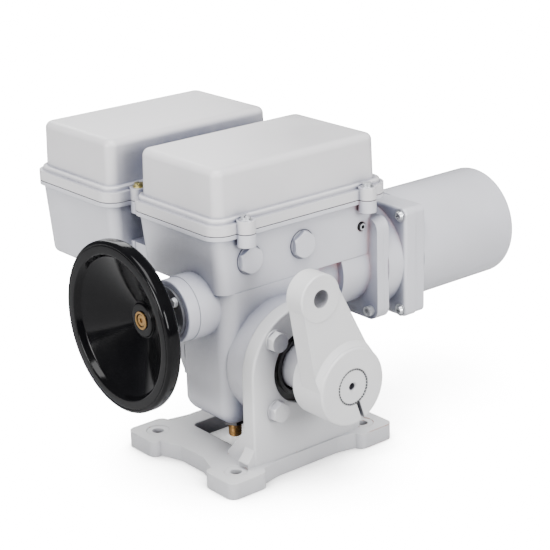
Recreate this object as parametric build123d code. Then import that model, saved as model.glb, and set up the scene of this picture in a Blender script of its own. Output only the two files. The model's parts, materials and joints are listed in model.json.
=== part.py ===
from build123d import *
import math
import os

# Quarter-turn valve actuator: a foot bracket carries a worm gear case, a motor drives the worm
# from the right, a disc handwheel turns it from the left, and a clamped crank lever on the
# output shaft in front works the valve. Millimetres. X runs along the worm towards the motor,
# Y runs along the output shaft towards the rear and Z is up. The shapes are drawn with the worm
# axis at y = 0 and the output axis at x = 0. As they are written they move forward or back so
# that the origin is the centre of the foot's bolt pattern, on its underside.

# ---- shafts and gears ----
shaft_height = 125.0
centre_distance = 72.0
output_radius = 22.5
worm_journal_radius = 10.0
worm_end_radius = 8.0
worm_tip_radius = 13.5
worm_root_radius = 10.5
worm_length = 60.0
mesh_gap = 0.5
wheel_teeth = 40
wheel_face = 20.0
wheel_pocket_depth = 5.0
wheel_tooth_depth = 5.5
serration_count = 48
serration_depth = 1.2

# ---- fits ----
running_clearance = 0.05
thread_clearance = 0.05
locating_clearance = 0.05

# ---- foot bracket ----
foot_thickness = 20.0
foot_hole_spacing_x = 196.0
foot_hole_spacing_y = 152.0
foot_centre_y = -10.0
foot_hole_radius = 7.0
foot_lug_half = 27.0
foot_lug_corner = 10.0
foot_flank_radius = 23.0
foot_waist_x = 6.0
foot_toe = 3.5
window_rear = 50.0
window_border = 46.0
upright_thickness = 19.0
upright_radius = 76.5
upright_bore_radius = 44.5
rib_thickness = 12.0

# ---- gear case ----
case_half_length = 76.0
case_front_reach = 50.0
case_rear_reach = 38.0
case_bottom_wall = 14.5
case_joint_screw_margin = 6.5
rear_cover_flange_margin = 6.0
case_corner = 20.0
case_rear_corner = 8.0
front_boss_length = 26.0
front_boss_radius = 74.0
wheel_chamber_gap = 2.5
worm_chamber_radius = 20.0
input_boss_radius = 38.6
input_boss_length = 27.0
tube_small_radius = 42.0
tube_large_radius = 52.0
tube_bore_radius = 30.0
tube_step_x = 102.0
motor_face_x = 156.0
case_flange_thickness = 11.0
motor_flange_half = 65.0

# ---- bearings: bore radius comes from the shaft ----
output_bearing_outer = 37.5
output_bearing_width = 16.0
worm_bearing_outer = 23.5
worm_bearing_width = 14.0
worm_bearing_x = 62.0

# ---- boxes and covers ----
box_length = 268.5
box_width = 168.0
box_left = -92.5
box_front = -57.0
box_corner = 22.0
box_wall = 5.0
box_flange_thickness = 5.0
box_underside_above_worm = 20.0
box_depth = 73.0
rear_box_depth = 97.0
rear_shift_x = -16.0
rear_shift_y = 184.0
rear_rise = 3.0
gasket_thickness = 1.0
gasket_width = 7.0
cover_height = 73.5
cover_flange_height = 12.0
cover_step_height = 6.0
cover_inset_left = 10.5
cover_inset_right = 14.0
cover_inset_side = 10.0
cover_draft = 1.2
cover_corner = 12.0
cover_edge_radius = 9.0
cover_lug_radius = 11.0
cover_lug_height = 15.0
cover_lug_inset_x = 42.0
cover_lug_outset = 3.0
cover_lug_stagger = 18.0

# ---- crank lever ----
crank_length = 120.0
crank_angle = 19.0
crank_front = -180.0
crank_hub_radius = 46.5
crank_hub_length = 52.0
crank_eye_radius = 28.0
crank_eye_bore = 10.5
crank_eye_length = 27.0
crank_web_thickness = 25.0
crank_web_inset = 1.2
crank_slit = 5.0
crank_blend = 6.0
clamp_screw_radius = 5.0

# ---- handwheel ----
handwheel_radius = 100.0
handwheel_front = -193.0
handwheel_rim_width = 18.5
handwheel_rim_depth = 16.0
handwheel_wall = 7.0
handwheel_hub_radius = 19.8
handwheel_hub_front = -158.0
handwheel_hub_rear = -130.0
bush_radius = 10.7

# ---- motor ----
motor_radius = 70.0
motor_plate_half = 70.0
motor_end_x = 381.0
motor_neck_radius = 67.0
adapter_flange_thickness = 8.0
neck_end_x = 187.0
adapter_plate_thickness = 18.0
shield_thickness = 14.5
can_wall = 4.0
rotor_radius = 37.4
rotor_gap = 0.6
stator_length = 108.0

# ---- values that follow from the ones above ----
worm_height = shaft_height + centre_distance
wheel_tip_radius = centre_distance - worm_tip_radius - mesh_gap
wheel_root_radius = wheel_tip_radius - wheel_tooth_depth
wheel_chamber_radius = wheel_tip_radius + wheel_chamber_gap
case_bottom = shaft_height - wheel_chamber_radius - case_bottom_wall
case_joint_screw_circle = wheel_chamber_radius + case_joint_screw_margin
box_underside = worm_height + box_underside_above_worm
parting = box_underside + box_depth
joint_y = -case_front_reach - front_boss_length
upright_front = joint_y - upright_thickness
foot_front = upright_front - foot_toe
foot_rear = foot_centre_y + foot_hole_spacing_y / 2 + 12
foot_half = foot_hole_spacing_x / 2 + foot_waist_x
box_centre_x = box_left + box_length / 2
box_centre_y = box_front + box_width / 2
input_face_x = -case_half_length - input_boss_length
adapter_plate_end = neck_end_x + adapter_plate_thickness
can_start_x = adapter_plate_end + shield_thickness
chamber_front = -26.0
bearing_front_y = chamber_front - output_bearing_width

os.makedirs("parts", exist_ok=True)


# ================= shape helpers =================

def along_x(radius, start, end, y=0.0, z=0.0):
    """Cylinder along X between two x values."""
    plane = Plane(origin=(start, y, z), x_dir=(0, 1, 0), z_dir=(1, 0, 0))
    return plane * Cylinder(radius, end - start, align=(Align.CENTER, Align.CENTER, Align.MIN))


def along_y(radius, start, end, x=0.0, z=0.0):
    """Cylinder along Y between two y values."""
    plane = Plane(origin=(x, start, z), x_dir=(1, 0, 0), z_dir=(0, 1, 0))
    return plane * Cylinder(radius, end - start, align=(Align.CENTER, Align.CENTER, Align.MIN))


def along_z(radius, start, end, x=0.0, y=0.0):
    """Cylinder along Z between two z values."""
    round_bar = Cylinder(radius, end - start, align=(Align.CENTER, Align.CENTER, Align.MIN))
    return Pos(x, y, start) * round_bar


def block(x0, x1, y0, y1, z0, z1):
    """Box between two corners."""
    brick = Box(x1 - x0, y1 - y0, z1 - z0)
    return Pos((x0 + x1) / 2, (y0 + y1) / 2, (z0 + z1) / 2) * brick


def tray(x0, x1, y0, y1, z0, z1, corner):
    """Upright block with its four vertical corners rounded."""
    outline = Pos((x0 + x1) / 2, (y0 + y1) / 2) * RectangleRounded(x1 - x0, y1 - y0, corner)
    return Pos(0, 0, z0) * extrude(outline, z1 - z0)


def drafted(x_low, y_low, x_high, y_high, z0, z1, corner):
    """Rounded block whose sides lean evenly from one outline at z0 to another at z1."""
    low = RectangleRounded(x_low[1] - x_low[0], y_low[1] - y_low[0], corner)
    high = RectangleRounded(x_high[1] - x_high[0], y_high[1] - y_high[0], corner)
    low = Pos((x_low[0] + x_low[1]) / 2, (y_low[0] + y_low[1]) / 2, z0) * low
    high = Pos((x_high[0] + x_high[1]) / 2, (y_high[0] + y_high[1]) / 2, z1) * high
    return loft([low, high])


def square_plate(half, start, end, corner, z):
    """Square plate with rounded corners, standing across X and centred on height z."""
    plane = Plane(origin=(start, 0, z), x_dir=(0, 1, 0), z_dir=(1, 0, 0))
    return extrude(plane * RectangleRounded(2 * half, 2 * half, corner), end - start)


def taper(centre_a, radius_a, centre_b, radius_b):
    """Flat outline round two circles and the straight edges that touch both."""
    circles = Sketch() + Pos(*centre_a) * Circle(radius_a) + Pos(*centre_b) * Circle(radius_b)
    edges = (Pos(*centre_a) * Circle(radius_a)).edges() + (Pos(*centre_b) * Circle(radius_b)).edges()
    return circles + make_hull(edges)


def hexagon(across_flats, height):
    """Hexagonal prism standing on the XY plane."""
    return extrude(RegularPolygon(across_flats / 2, 6, major_radius=False), height)


def toothed(tip, root, teeth, width, land=0.5):
    """Gear disc standing on the XY plane: straight flanks between tip and root circles."""
    points = []
    step = 2 * math.pi / teeth
    for tooth in range(teeth):
        for share, radius in ((-land / 2, root), (-land / 4, tip), (land / 4, tip), (land / 2, root)):
            turn = (tooth + share) * step
            points.append((radius * math.cos(turn), radius * math.sin(turn)))
    return extrude(make_face(Polyline(*points, close=True)), width)


def ring_bearing(bore, outer, width):
    """Ball bearing drawn as one ring with a shallow groove between its races, standing on XY."""
    ring = Cylinder(outer, width, align=(Align.CENTER, Align.CENTER, Align.MIN))
    ring -= Cylinder(bore, width, align=(Align.CENTER, Align.CENTER, Align.MIN))
    third = (outer - bore) / 3
    groove = Cylinder(outer - third, 1.0, align=(Align.CENTER, Align.CENTER, Align.MIN))
    groove -= Cylinder(bore + third, 1.0, align=(Align.CENTER, Align.CENTER, Align.MIN))
    return ring - groove - Pos(0, 0, width - 1.0) * groove


def socket_screw(radius, length, head_radius, head_height):
    """Cap screw: shank below the XY plane, head above it with a hexagon socket."""
    screw = along_z(radius, -length, 0) + along_z(head_radius, 0, head_height)
    return screw - Pos(0, 0, head_height / 2) * hexagon(radius * 1.6, head_height)


def slotted_screw(radius, length, head_radius, head_height):
    """Cheese-head screw: shank below the XY plane, slotted head above it."""
    screw = along_z(radius, -length, 0) + along_z(head_radius, 0, head_height)
    return screw - block(-head_radius, head_radius, -0.8, 0.8, head_height / 2, head_height)


def hex_screw(radius, length, across_flats, head_height):
    """Hexagon screw with a plain washer: the washer rests on the XY plane."""
    washer_thickness = radius * 0.35
    screw = along_z(radius, -length, washer_thickness) + along_z(across_flats * 0.6, 0, washer_thickness)
    head = Pos(0, 0, washer_thickness) * hexagon(across_flats, head_height)
    cap = Pos(0, 0, washer_thickness) * Cone(across_flats * 0.72, across_flats * 0.46, head_height * 1.25,
                                             align=(Align.CENTER, Align.CENTER, Align.MIN))
    return screw + (head & cap)


def facing(direction, point):
    """Plane whose outward normal is the given direction."""
    side = (0, 0, 1) if abs(direction[2]) < 0.5 else (1, 0, 0)
    return Plane(origin=point, x_dir=side, z_dir=direction)


def around(count, radius, start_degrees=0.0):
    """Points evenly spaced round a circle."""
    turns = [math.radians(start_degrees + 360 * index / count) for index in range(count)]
    return [(radius * math.cos(turn), radius * math.sin(turn)) for turn in turns]


def write(name, shape):
    """Write one node in the final frame. Several separate solids are written as one compound."""
    pieces = shape if isinstance(shape, list) else [shape]
    solids = [Pos(0, -foot_centre_y, 0) * solid for piece in pieces for solid in piece.solids()]
    shape = solids[0] if len(solids) == 1 else Compound(children=solids)
    shape.label = name
    export_step(shape, f"parts/{name}.step")


# ================= foot bracket =================

foot_holes = [
    (side_x * foot_hole_spacing_x / 2, foot_centre_y + side_y * foot_hole_spacing_y / 2)
    for side_x in (-1, 1)
    for side_y in (-1, 1)
]
bracket_bolt_circle = 61.0
bracket_bolt_radius = 7.0
bracket_bolt_flats = 22.0
bracket_bolt_head = 9.0
bracket_bolt_holes = around(4, bracket_bolt_circle, 45)
bracket_hole_clearance = 0.5


def foot_plate():
    outline = Pos(0, (foot_front + foot_rear) / 2) * Rectangle(2 * foot_half, foot_rear - foot_front)
    for x, y in foot_holes:
        side_x = math.copysign(1, x)
        end_y = foot_front if y < foot_centre_y else foot_rear
        side_y = math.copysign(1, y - foot_centre_y)
        outline += Pos(x, y) * RectangleRounded(2 * foot_lug_half, 2 * foot_lug_half, foot_lug_corner)
        outline += taper((x, y), foot_flank_radius, (side_x * (foot_half - 4), end_y - side_y * 66), 4)
        outline += taper((x, y), foot_flank_radius, (side_x * (foot_half - 58), end_y - side_y * 4), 4)
    plate = extrude(outline, foot_thickness)
    window_half = foot_half - window_border
    plate -= tray(-window_half, window_half, joint_y + 33, window_rear, -1, foot_thickness + 1, 8)
    return plate


def upright():
    plate = along_y(upright_radius, upright_front, joint_y, z=shaft_height)
    plate += block(-upright_radius, upright_radius, upright_front, joint_y, foot_thickness, shaft_height)
    front_edges = plate.edges().filter_by_position(Axis.Y, upright_front, upright_front + 0.1)
    plate = fillet([edge for edge in front_edges if edge.center().Z > foot_thickness + 1], 2.5)
    plate -= along_y(upright_bore_radius, upright_front - 1, joint_y + 1, z=shaft_height)
    for x, z in bracket_bolt_holes:
        plate -= along_y(bracket_bolt_radius + bracket_hole_clearance, upright_front - 1, joint_y + 1,
                         x, shaft_height + z)
    return plate


def side_rib(side):
    """Curved rib from the upright's edge down onto the front lug."""
    reach = foot_hole_spacing_x / 2 - 2
    root = upright_radius - 2
    middle = (upright_front + joint_y) / 2
    outline = make_face([
        Line((side * root, 5), (side * reach, 5)),
        Line((side * reach, 5), (side * reach, foot_thickness)),
        ThreePointArc((side * reach, foot_thickness), (side * (root + 6), foot_thickness + 14),
                      (side * root, foot_thickness + 56)),
        Line((side * root, foot_thickness + 56), (side * root, 5)),
    ])
    return Pos(0, middle, 0) * extrude(Plane.XZ * outline, upright_thickness / 2 - 1, both=True)


def rear_rib(side):
    """Triangular rib behind the upright."""
    outline = make_face(Polyline(
        (joint_y - 1, foot_thickness - 1),
        (joint_y + 32, foot_thickness - 1),
        (joint_y + 32, foot_thickness + 4),
        (joint_y, foot_thickness + 40),
        (joint_y - 1, foot_thickness + 40),
        close=True,
    ))
    rib = extrude(Plane.YZ * outline, rib_thickness / 2, both=True)
    return Pos(side * (upright_radius - rib_thickness / 2), 0, 0) * rib


def foot_bracket():
    body = foot_plate() + upright()
    for side in (-1, 1):
        body += side_rib(side)
        body += rear_rib(side)
    for x, y in foot_holes:
        body -= along_z(foot_hole_radius, -1, foot_thickness + 1, x, y)
        body -= along_z(foot_hole_radius + 7, foot_thickness - 0.8, foot_thickness + 6, x, y)
    return body


write("foot_bracket", foot_bracket())


# ================= gear case =================

seal_radius = 36.0
seal_width = 10.0
case_cover_screw_radius = 3.0
adapter_screw_radius = 4.0
adapter_screw_places = [(-53.0, -53.0), (53.0, -53.0), (-30.0, 52.0), (30.0, 52.0)]
cover_screw_radius = 3.0
cable_hole_radius = 10.0
cable_hole_x = (-40.0, 39.0)
cable_hole_height = 57.0
plug_across_flats = 30.0
plug_flange_radius = 16.8
plug_face_y = box_front + 8.0
earth_hole_x = 133.0
earth_hole_radius = 2.5
earth_washer_radius = 5.6
retaining_screw_radius = 3.0
retaining_screw_circle = 24.5
retaining_screw_flats = 10.0
retaining_screw_head = 3.4
stop_screw_radius = 8.0
stop_screw_x = 46.0
stop_screw_y = -20.0
feedback_x = 40.0
feedback_y = 21.5
feedback_bore_radius = 13.0
neck_bolt_radius = 4.0
rear_neck_x = 2.0
rear_neck_half = 78.0
rear_neck_low = box_underside + 1
rear_neck_high = rear_neck_low + 24
rear_joint_y = box_front + rear_shift_y - 1.0
neck_screw_places = [(rear_neck_x - 60, rear_neck_low + 12), (rear_neck_x + 60, rear_neck_low + 12)]
cable_passage_radius = 9.0


def lug_points(shift_x=0.0, shift_y=0.0):
    """Centres of the four screw lugs of a box, two on each long side.

    The rear lugs of the front box are staggered so that they pass between those of the rear box.
    """
    stagger = cover_lug_stagger if shift_y == 0 else 0.0
    return [
        (shift_x + box_centre_x + side_x * (box_length / 2 - cover_lug_inset_x) + offset,
         shift_y + box_centre_y + side_y * (box_width / 2 + cover_lug_outset))
        for side_x in (-1, 1)
        for side_y, offset in ((-1, 0.0), (1, stagger))
    ]


def box_flange(z0, z1, inset=0.0, shift_x=0.0, shift_y=0.0):
    """Rounded rectangular flange shared by the boxes, the covers and the gaskets."""
    return tray(box_left + shift_x + inset, box_left + shift_x + box_length - inset,
                box_front + shift_y + inset, box_front + shift_y + box_width - inset,
                z0, z1, box_corner - inset)


box_wall_left = (box_left + 12.0, box_left + 6.0)
box_wall_front = (box_front + 8.0, box_front + 6.0)
box_wall_rear = (box_front + box_width - 10.0, box_front + box_width - 6.0)
box_wall_right = (motor_face_x, motor_face_x)
box_wall_corner = 14.0


def box_body(inset, z_low, z_high):
    """Drafted body of the front box, drawn smaller by the inset for its cavity."""
    return drafted(
        (box_wall_left[0] + inset, box_wall_right[0] - inset),
        (box_wall_front[0] + inset, box_wall_rear[0] - inset),
        (box_wall_left[1] + inset, box_wall_right[1] - inset),
        (box_wall_front[1] + inset, box_wall_rear[1] - inset),
        z_low, z_high, box_wall_corner - inset * 0.8)


def case_outside():
    body = block(-case_half_length, case_half_length, -case_front_reach, case_rear_reach,
                 case_bottom, box_underside)
    corners = body.edges().filter_by(Axis.Z).group_by(Axis.Y)
    body = fillet(corners[0], case_corner)
    body = fillet(body.edges().filter_by(Axis.Z).group_by(Axis.Y)[-1], case_rear_corner)
    lower = body.edges().filter_by(Axis.Y).group_by(Axis.Z)[0]
    body = fillet(lower, case_corner)
    body += along_y(front_boss_radius, joint_y, -case_front_reach + 5, z=shaft_height)
    body += along_x(input_boss_radius, input_face_x, -case_half_length + 5, z=worm_height)
    return body


def case_tube():
    """Tube over the coupling, ending in the flange that the motor adapter bolts to."""
    tube = along_x(tube_small_radius, case_half_length - 5, tube_step_x + 2, z=worm_height)
    tube += along_x(tube_large_radius, tube_step_x, motor_face_x, z=worm_height)
    tube += square_plate(motor_flange_half, motor_face_x - case_flange_thickness, motor_face_x, 15,
                         worm_height)
    return tube


def gear_case():
    shell = box_body(0, box_underside, parting - box_flange_thickness)
    shell += box_flange(parting - box_flange_thickness, parting)
    for x, y in lug_points():
        shell += along_z(cover_lug_radius, parting - cover_lug_height, parting, x, y)
    shell -= box_body(box_wall, box_underside + box_wall, parting + 1)
    body = case_outside() + shell + case_tube()
    body += tray(rear_neck_x - rear_neck_half, rear_neck_x + rear_neck_half,
                 box_wall_rear[0] - 4, rear_joint_y, rear_neck_low, rear_neck_high, 3.5)

    # bores along the worm
    body -= along_x(worm_bearing_outer + locating_clearance, input_face_x - 1,
                    -worm_bearing_x + worm_bearing_width / 2, z=worm_height)
    body -= along_x(worm_chamber_radius, -worm_bearing_x, worm_bearing_x, z=worm_height)
    body -= along_x(worm_bearing_outer + locating_clearance, worm_bearing_x - worm_bearing_width / 2,
                    case_half_length, z=worm_height)
    body -= along_x(tube_bore_radius, worm_bearing_x + worm_bearing_width / 2,
                    motor_face_x + 1, z=worm_height)

    # bores along the output shaft
    body -= along_y(wheel_chamber_radius, chamber_front, case_rear_reach + 1, z=shaft_height)
    body -= along_y(output_bearing_outer + locating_clearance, bearing_front_y, chamber_front + 1,
                    z=shaft_height)
    body -= along_y(output_radius + 1.5, joint_y - 1, bearing_front_y + 1, z=shaft_height)
    body -= along_y(seal_radius, joint_y - 1, joint_y + seal_width, z=shaft_height)

    # feedback bore down to the worm chamber, and its gear pocket
    body -= along_z(feedback_bore_radius, worm_height - 12, box_underside + box_wall + 1,
                    feedback_x, feedback_y)

    # screw holes
    for x, z in bracket_bolt_holes:
        body -= along_y(bracket_bolt_radius + thread_clearance, joint_y - 1, joint_y + 23, x,
                        shaft_height + z)
    for x, z in around(6, case_joint_screw_circle, 30):
        body -= along_y(case_cover_screw_radius + thread_clearance, case_rear_reach - 16,
                        case_rear_reach + 1,
                        x, shaft_height + z)
    for y, z in adapter_screw_places:
        body -= along_x(adapter_screw_radius + 0.4, motor_face_x - case_flange_thickness - 1,
                        motor_face_x + 1,
                        y, worm_height + z)
    for x, y in lug_points():
        body -= along_z(cover_screw_radius + thread_clearance, parting - cover_lug_height + 3,
                        parting + 1, x, y)
    for x in cable_hole_x:
        body -= along_y(cable_hole_radius + thread_clearance, box_front - 5, box_front + 20,
                        x, worm_height + cable_hole_height)
        body -= along_y(plug_flange_radius + 1, box_front - 5, plug_face_y, x,
                        worm_height + cable_hole_height)
    body -= along_y(earth_hole_radius + thread_clearance, box_front - 5, box_front + 20,
                    earth_hole_x, worm_height + cable_hole_height)
    body -= along_y(earth_washer_radius + 1, box_front - 5, plug_face_y, earth_hole_x,
                    worm_height + cable_hole_height)
    for side in (-1, 1):
        body -= along_z(stop_screw_radius + thread_clearance, case_bottom - 1, case_bottom + 28,
                        side * stop_screw_x, stop_screw_y)
    for x, z in neck_screw_places:
        body -= along_y(neck_bolt_radius + thread_clearance, rear_joint_y - 18, rear_joint_y + 1, x, z)
    body -= along_y(cable_passage_radius, box_wall_rear[0] - 12, rear_joint_y + 1,
                    rear_neck_x, rear_neck_low + 12)
    return body


write("gear_case", gear_case())


# ================= covers, gaskets and the rear box =================

def cover_body(left, right, front, rear, inset, z_low, z_high):
    """Raised part of a cover above its flange, drawn smaller by the inset for its hollow."""
    low = inset
    high = inset + cover_draft
    return drafted(
        (left + cover_inset_left + low, right - cover_inset_right - low),
        (front + cover_inset_side + low, rear - cover_inset_side - low),
        (left + cover_inset_left + high, right - cover_inset_right - high),
        (front + cover_inset_side + high, rear - cover_inset_side - high),
        z_low, z_high, cover_corner - inset * 0.8)


def box_cover(shift_x, shift_y, base):
    """Bolted cover: flange, step and drafted body in one shell, open below."""
    left = box_left + shift_x
    front = box_front + shift_y
    right = left + box_length
    rear = front + box_width
    flange_top = base + cover_flange_height
    step_top = flange_top + cover_step_height
    top = base + cover_height
    body = cover_body(left, right, front, rear, 0, step_top, top)
    body = fillet(body.edges().group_by(Axis.Z)[-1], cover_edge_radius)
    shell = box_flange(base, flange_top, 0, shift_x, shift_y)
    step = box_flange(flange_top, step_top, cover_step_height - 1, shift_x, shift_y)
    shell += fillet(step.edges().group_by(Axis.Z)[-1], 2.5)
    shell += body
    for x, y in lug_points(shift_x, shift_y):
        shell += along_z(cover_lug_radius, base, base + cover_lug_height, x, y)
    hollow = cover_body(left, right, front, rear, box_wall, base - 1, top - box_wall)
    shell -= hollow
    for x, y in lug_points(shift_x, shift_y):
        shell -= along_z(cover_screw_radius + 0.4, base - 1, base + cover_lug_height + 1, x, y)
    return shell


def box_gasket(shift_x, shift_y, z):
    ring = box_flange(z, z + gasket_thickness, 1.5, shift_x, shift_y)
    return ring - box_flange(z - 1, z + gasket_thickness + 1, 1.5 + gasket_width, shift_x, shift_y)


def cover_screws(shift_x, shift_y, base):
    """Four slotted screws with plain washers on the lugs."""
    length = cover_lug_height + gasket_thickness + 9
    screws = []
    for index, (x, y) in enumerate(lug_points(shift_x, shift_y)):
        screw = slotted_screw(cover_screw_radius, length, 5.5, 4)
        washer = along_z(7.5, 0, 1) - along_z(cover_screw_radius, 0, 1)
        screws.append(Pos(x,
                          y, base + cover_lug_height) * (Rot(0, 0, 35 + 50 * index) * Pos(0, 0, 1) * screw))
        screws.append(Pos(x, y, base + cover_lug_height) * washer)
    return screws


rear_parting = parting + rear_rise
rear_underside = rear_parting - rear_box_depth


def rear_box_body(inset, z_low, z_high):
    """Drafted body of the rear box, deeper than the front one."""
    return drafted(
        (box_left + rear_shift_x + 12 + inset, box_left + rear_shift_x + box_length - 14 - inset),
        (rear_joint_y + 7 + inset, box_front + rear_shift_y + box_width - 11 - inset),
        (box_left + rear_shift_x + 6 + inset, box_left + rear_shift_x + box_length - 8 - inset),
        (rear_joint_y + 5 + inset, box_front + rear_shift_y + box_width - 6 - inset),
        z_low, z_high, 13 - inset * 0.8)


board_left = rear_shift_x + box_left + 36
board_front = rear_joint_y + 34
board_length = box_length - 78.5
board_width = 96.0
board_step = board_length / 95
rear_floor_z = rear_underside + box_wall
board_z = rear_floor_z + 14.0


def board_corners():
    return [
        (board_left + x, board_front + y)
        for x in (8, board_length - 8)
        for y in (8, board_width - 8)
    ]


def rear_box():
    outside = rear_box_body(0, rear_underside, rear_parting - box_flange_thickness)
    outside = fillet(outside.edges().group_by(Axis.Z)[0], 10)
    shell = outside + box_flange(rear_parting - box_flange_thickness, rear_parting, 0, rear_shift_x,
                                 rear_shift_y)
    for x, y in lug_points(rear_shift_x, rear_shift_y):
        shell += along_z(cover_lug_radius, rear_parting - cover_lug_height, rear_parting, x, y)
    shell += tray(rear_neck_x - rear_neck_half, rear_neck_x + rear_neck_half,
                  rear_joint_y, rear_joint_y + 11, rear_neck_low, rear_neck_high, 3.5)
    shell -= rear_box_body(box_wall, rear_underside + box_wall, rear_parting + 1)
    for x, y in lug_points(rear_shift_x, rear_shift_y):
        shell -= along_z(cover_screw_radius + thread_clearance, rear_parting - cover_lug_height + 3,
                         rear_parting + 1, x, y)
    for x, z in neck_screw_places:
        shell -= along_y(neck_bolt_radius + 0.4, rear_joint_y - 1, rear_joint_y + 20, x, z)
        shell -= along_y(neck_bolt_radius + 4, rear_joint_y + 11, rear_joint_y + 22, x, z)
    shell -= along_y(cable_passage_radius, rear_joint_y - 1, rear_joint_y + 24, rear_neck_x,
                     rear_neck_low + 12)
    for x, y in board_corners():
        shell += along_z(4, rear_floor_z - 1, board_z, x, y)
    return shell


def rear_box_screws():
    """Two cap screws that hold the rear box to the neck, put in from inside the box."""
    screws = []
    for x, z in neck_screw_places:
        place = facing((0, 1, 0), (x, rear_joint_y + 11, z))
        screws.append(place * socket_screw(neck_bolt_radius, 26, 6.5, 7))
    return screws


cover_base = parting + gasket_thickness
rear_cover_base = rear_parting + gasket_thickness

write("front_cover", box_cover(0, 0, cover_base))
write("front_gasket", box_gasket(0, 0, parting))
write("front_cover_screws", cover_screws(0, 0, cover_base))
write("rear_box", rear_box())
write("rear_cover", box_cover(rear_shift_x, rear_shift_y, rear_cover_base))
write("rear_gasket", box_gasket(rear_shift_x, rear_shift_y, rear_parting))
write("rear_cover_screws", cover_screws(rear_shift_x, rear_shift_y, rear_cover_base))
write("rear_box_screws", rear_box_screws())


# ================= small outside pieces on the case =================



def cable_plugs():
    """Hexagon blanking plugs with a round flange, screwed into the cable entries."""
    plugs = []
    for x in cable_hole_x:
        place = facing((0, -1, 0), (x, plug_face_y, worm_height + cable_hole_height))
        plug = along_z(cable_hole_radius, -7, 1) + along_z(plug_flange_radius, 0, 2.4)
        plug += Pos(0, 0, 2.4) * hexagon(plug_across_flats, 6)
        dome = Pos(0, 0, 2.4) * Cone(plug_across_flats * 0.7, plug_across_flats * 0.47, 7,
                                     align=(Align.CENTER, Align.CENTER, Align.MIN))
        plugs.append(place * (plug & (dome + along_z(plug_across_flats, -8, 2.4))))
    return plugs


def earth_screw():
    """Earth terminal: socket screw with a plain washer."""
    place = facing((0, -1, 0), (earth_hole_x, plug_face_y, worm_height + cable_hole_height))
    washer = along_z(earth_washer_radius, 0, 0.8)
    return place * (washer + Pos(0, 0, 0.8) * socket_screw(earth_hole_radius, 9, 4.4, 3.2))


def bracket_bolts():
    bolts = []
    for x, z in bracket_bolt_holes:
        place = facing((0, -1, 0), (x, upright_front, shaft_height + z))
        bolts.append(place * hex_screw(bracket_bolt_radius, upright_thickness + 20,
                                       bracket_bolt_flats, bracket_bolt_head))
    return bolts


def stop_screws():
    """Threaded adjusting screws below the case, drawn with ring grooves for their thread."""
    screws = []
    for side in (-1, 1):
        screw = along_z(stop_screw_radius, case_bottom - 23, case_bottom + 24)
        for step in range(9):
            z = case_bottom - 21.5 + 2 * step
            screw -= along_z(stop_screw_radius + 1, z, z + 0.9) - along_z(stop_screw_radius - 0.8,
                                                                          z, z + 0.9)
        screws.append(Pos(side * stop_screw_x, stop_screw_y) * screw)
    return screws


def stop_lock_nuts():
    nut = Pos(0, 0, case_bottom - 6) * hexagon(24, 6)
    nut -= along_z(stop_screw_radius, case_bottom - 7, case_bottom + 1)
    return [Pos(side * stop_screw_x, stop_screw_y) * nut for side in (-1, 1)]


write("cable_plugs", cable_plugs())
write("earth_screw", earth_screw())
write("bracket_bolts", bracket_bolts())
write("stop_screws", stop_screws())
write("stop_lock_nuts", stop_lock_nuts())


# ================= output shaft, wheel and crank lever =================

collar_front = chamber_front
collar_rear = -wheel_face / 2 - 3
rear_bearing_y = 18.0
hub_rear = rear_bearing_y - 0.2
key_width = 12.0
key_rear = wheel_face / 2 + 3
key_height = 8.0
shaft_rear = rear_bearing_y + output_bearing_width + 2
rear_cover_thickness = 10.0
clamp_offset = 34.0


def serrated(radius, width):
    """Bar standing on XY with fine triangular teeth round it."""
    points = []
    for tooth in range(serration_count):
        for share, reach in ((0, radius), (0.5, radius - serration_depth)):
            turn = 2 * math.pi * (tooth + share) / serration_count
            points.append((reach * math.cos(turn), reach * math.sin(turn)))
    return extrude(make_face(Polyline(*points, close=True)), width)


def output_frame(y):
    """Plane across the output shaft at y, with its normal towards the rear."""
    return Plane(origin=(0, y, shaft_height), x_dir=(1, 0, 0), z_dir=(0, 1, 0))


crank_serration_end = crank_front + crank_hub_length


def output_shaft():
    shaft = along_y(output_radius, crank_serration_end, shaft_rear, z=shaft_height)
    splined = Plane(origin=(0, crank_front + 0.6, 0), x_dir=(1, 0, 0), z_dir=(0, 1, 0)) * serrated(
        output_radius, crank_hub_length)
    shaft += crank_swing(splined)
    shaft += along_y(output_radius + 5.5, collar_front + 0.5, collar_rear, z=shaft_height)
    key_depth = key_height / 2
    shaft -= block(-key_width / 2, key_width / 2, collar_rear, key_rear,
                   shaft_height + output_radius - key_depth, shaft_height + output_radius + 1)
    shaft -= along_y(4.2, crank_front - 1, crank_front + 22, z=shaft_height)
    mouth = Plane(origin=(0, crank_front + 0.6, shaft_height), x_dir=(1, 0, 0), z_dir=(0, 1, 0))
    shaft -= mouth * Cone(6, 4.2, 1.8, align=(Align.CENTER, Align.CENTER, Align.MIN))
    return shaft


def worm_wheel():
    rim = output_frame(-wheel_face / 2) * toothed(wheel_tip_radius, wheel_root_radius, wheel_teeth,
                                                  wheel_face)
    hub = along_y(output_radius + 12, collar_rear, wheel_face / 2 + 3, z=shaft_height)
    hub += along_y(output_radius + 4, collar_rear, hub_rear, z=shaft_height)
    wheel = rim + hub
    for side in (-1, 1):
        start = side * (wheel_face - wheel_pocket_depth) / 2 - wheel_pocket_depth / 2
        end = start + wheel_pocket_depth
        pocket = along_y(wheel_root_radius - 6, start, end, z=shaft_height)
        wheel -= pocket - along_y(output_radius + 12, start - 1, end + 1, z=shaft_height)
    wheel -= along_y(output_radius, collar_rear - 1, hub_rear + 1, z=shaft_height)
    wheel -= block(-key_width / 2, key_width / 2, collar_rear - 1, hub_rear + 1,
                   shaft_height, shaft_height + output_radius + key_height / 2)
    return wheel


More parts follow.
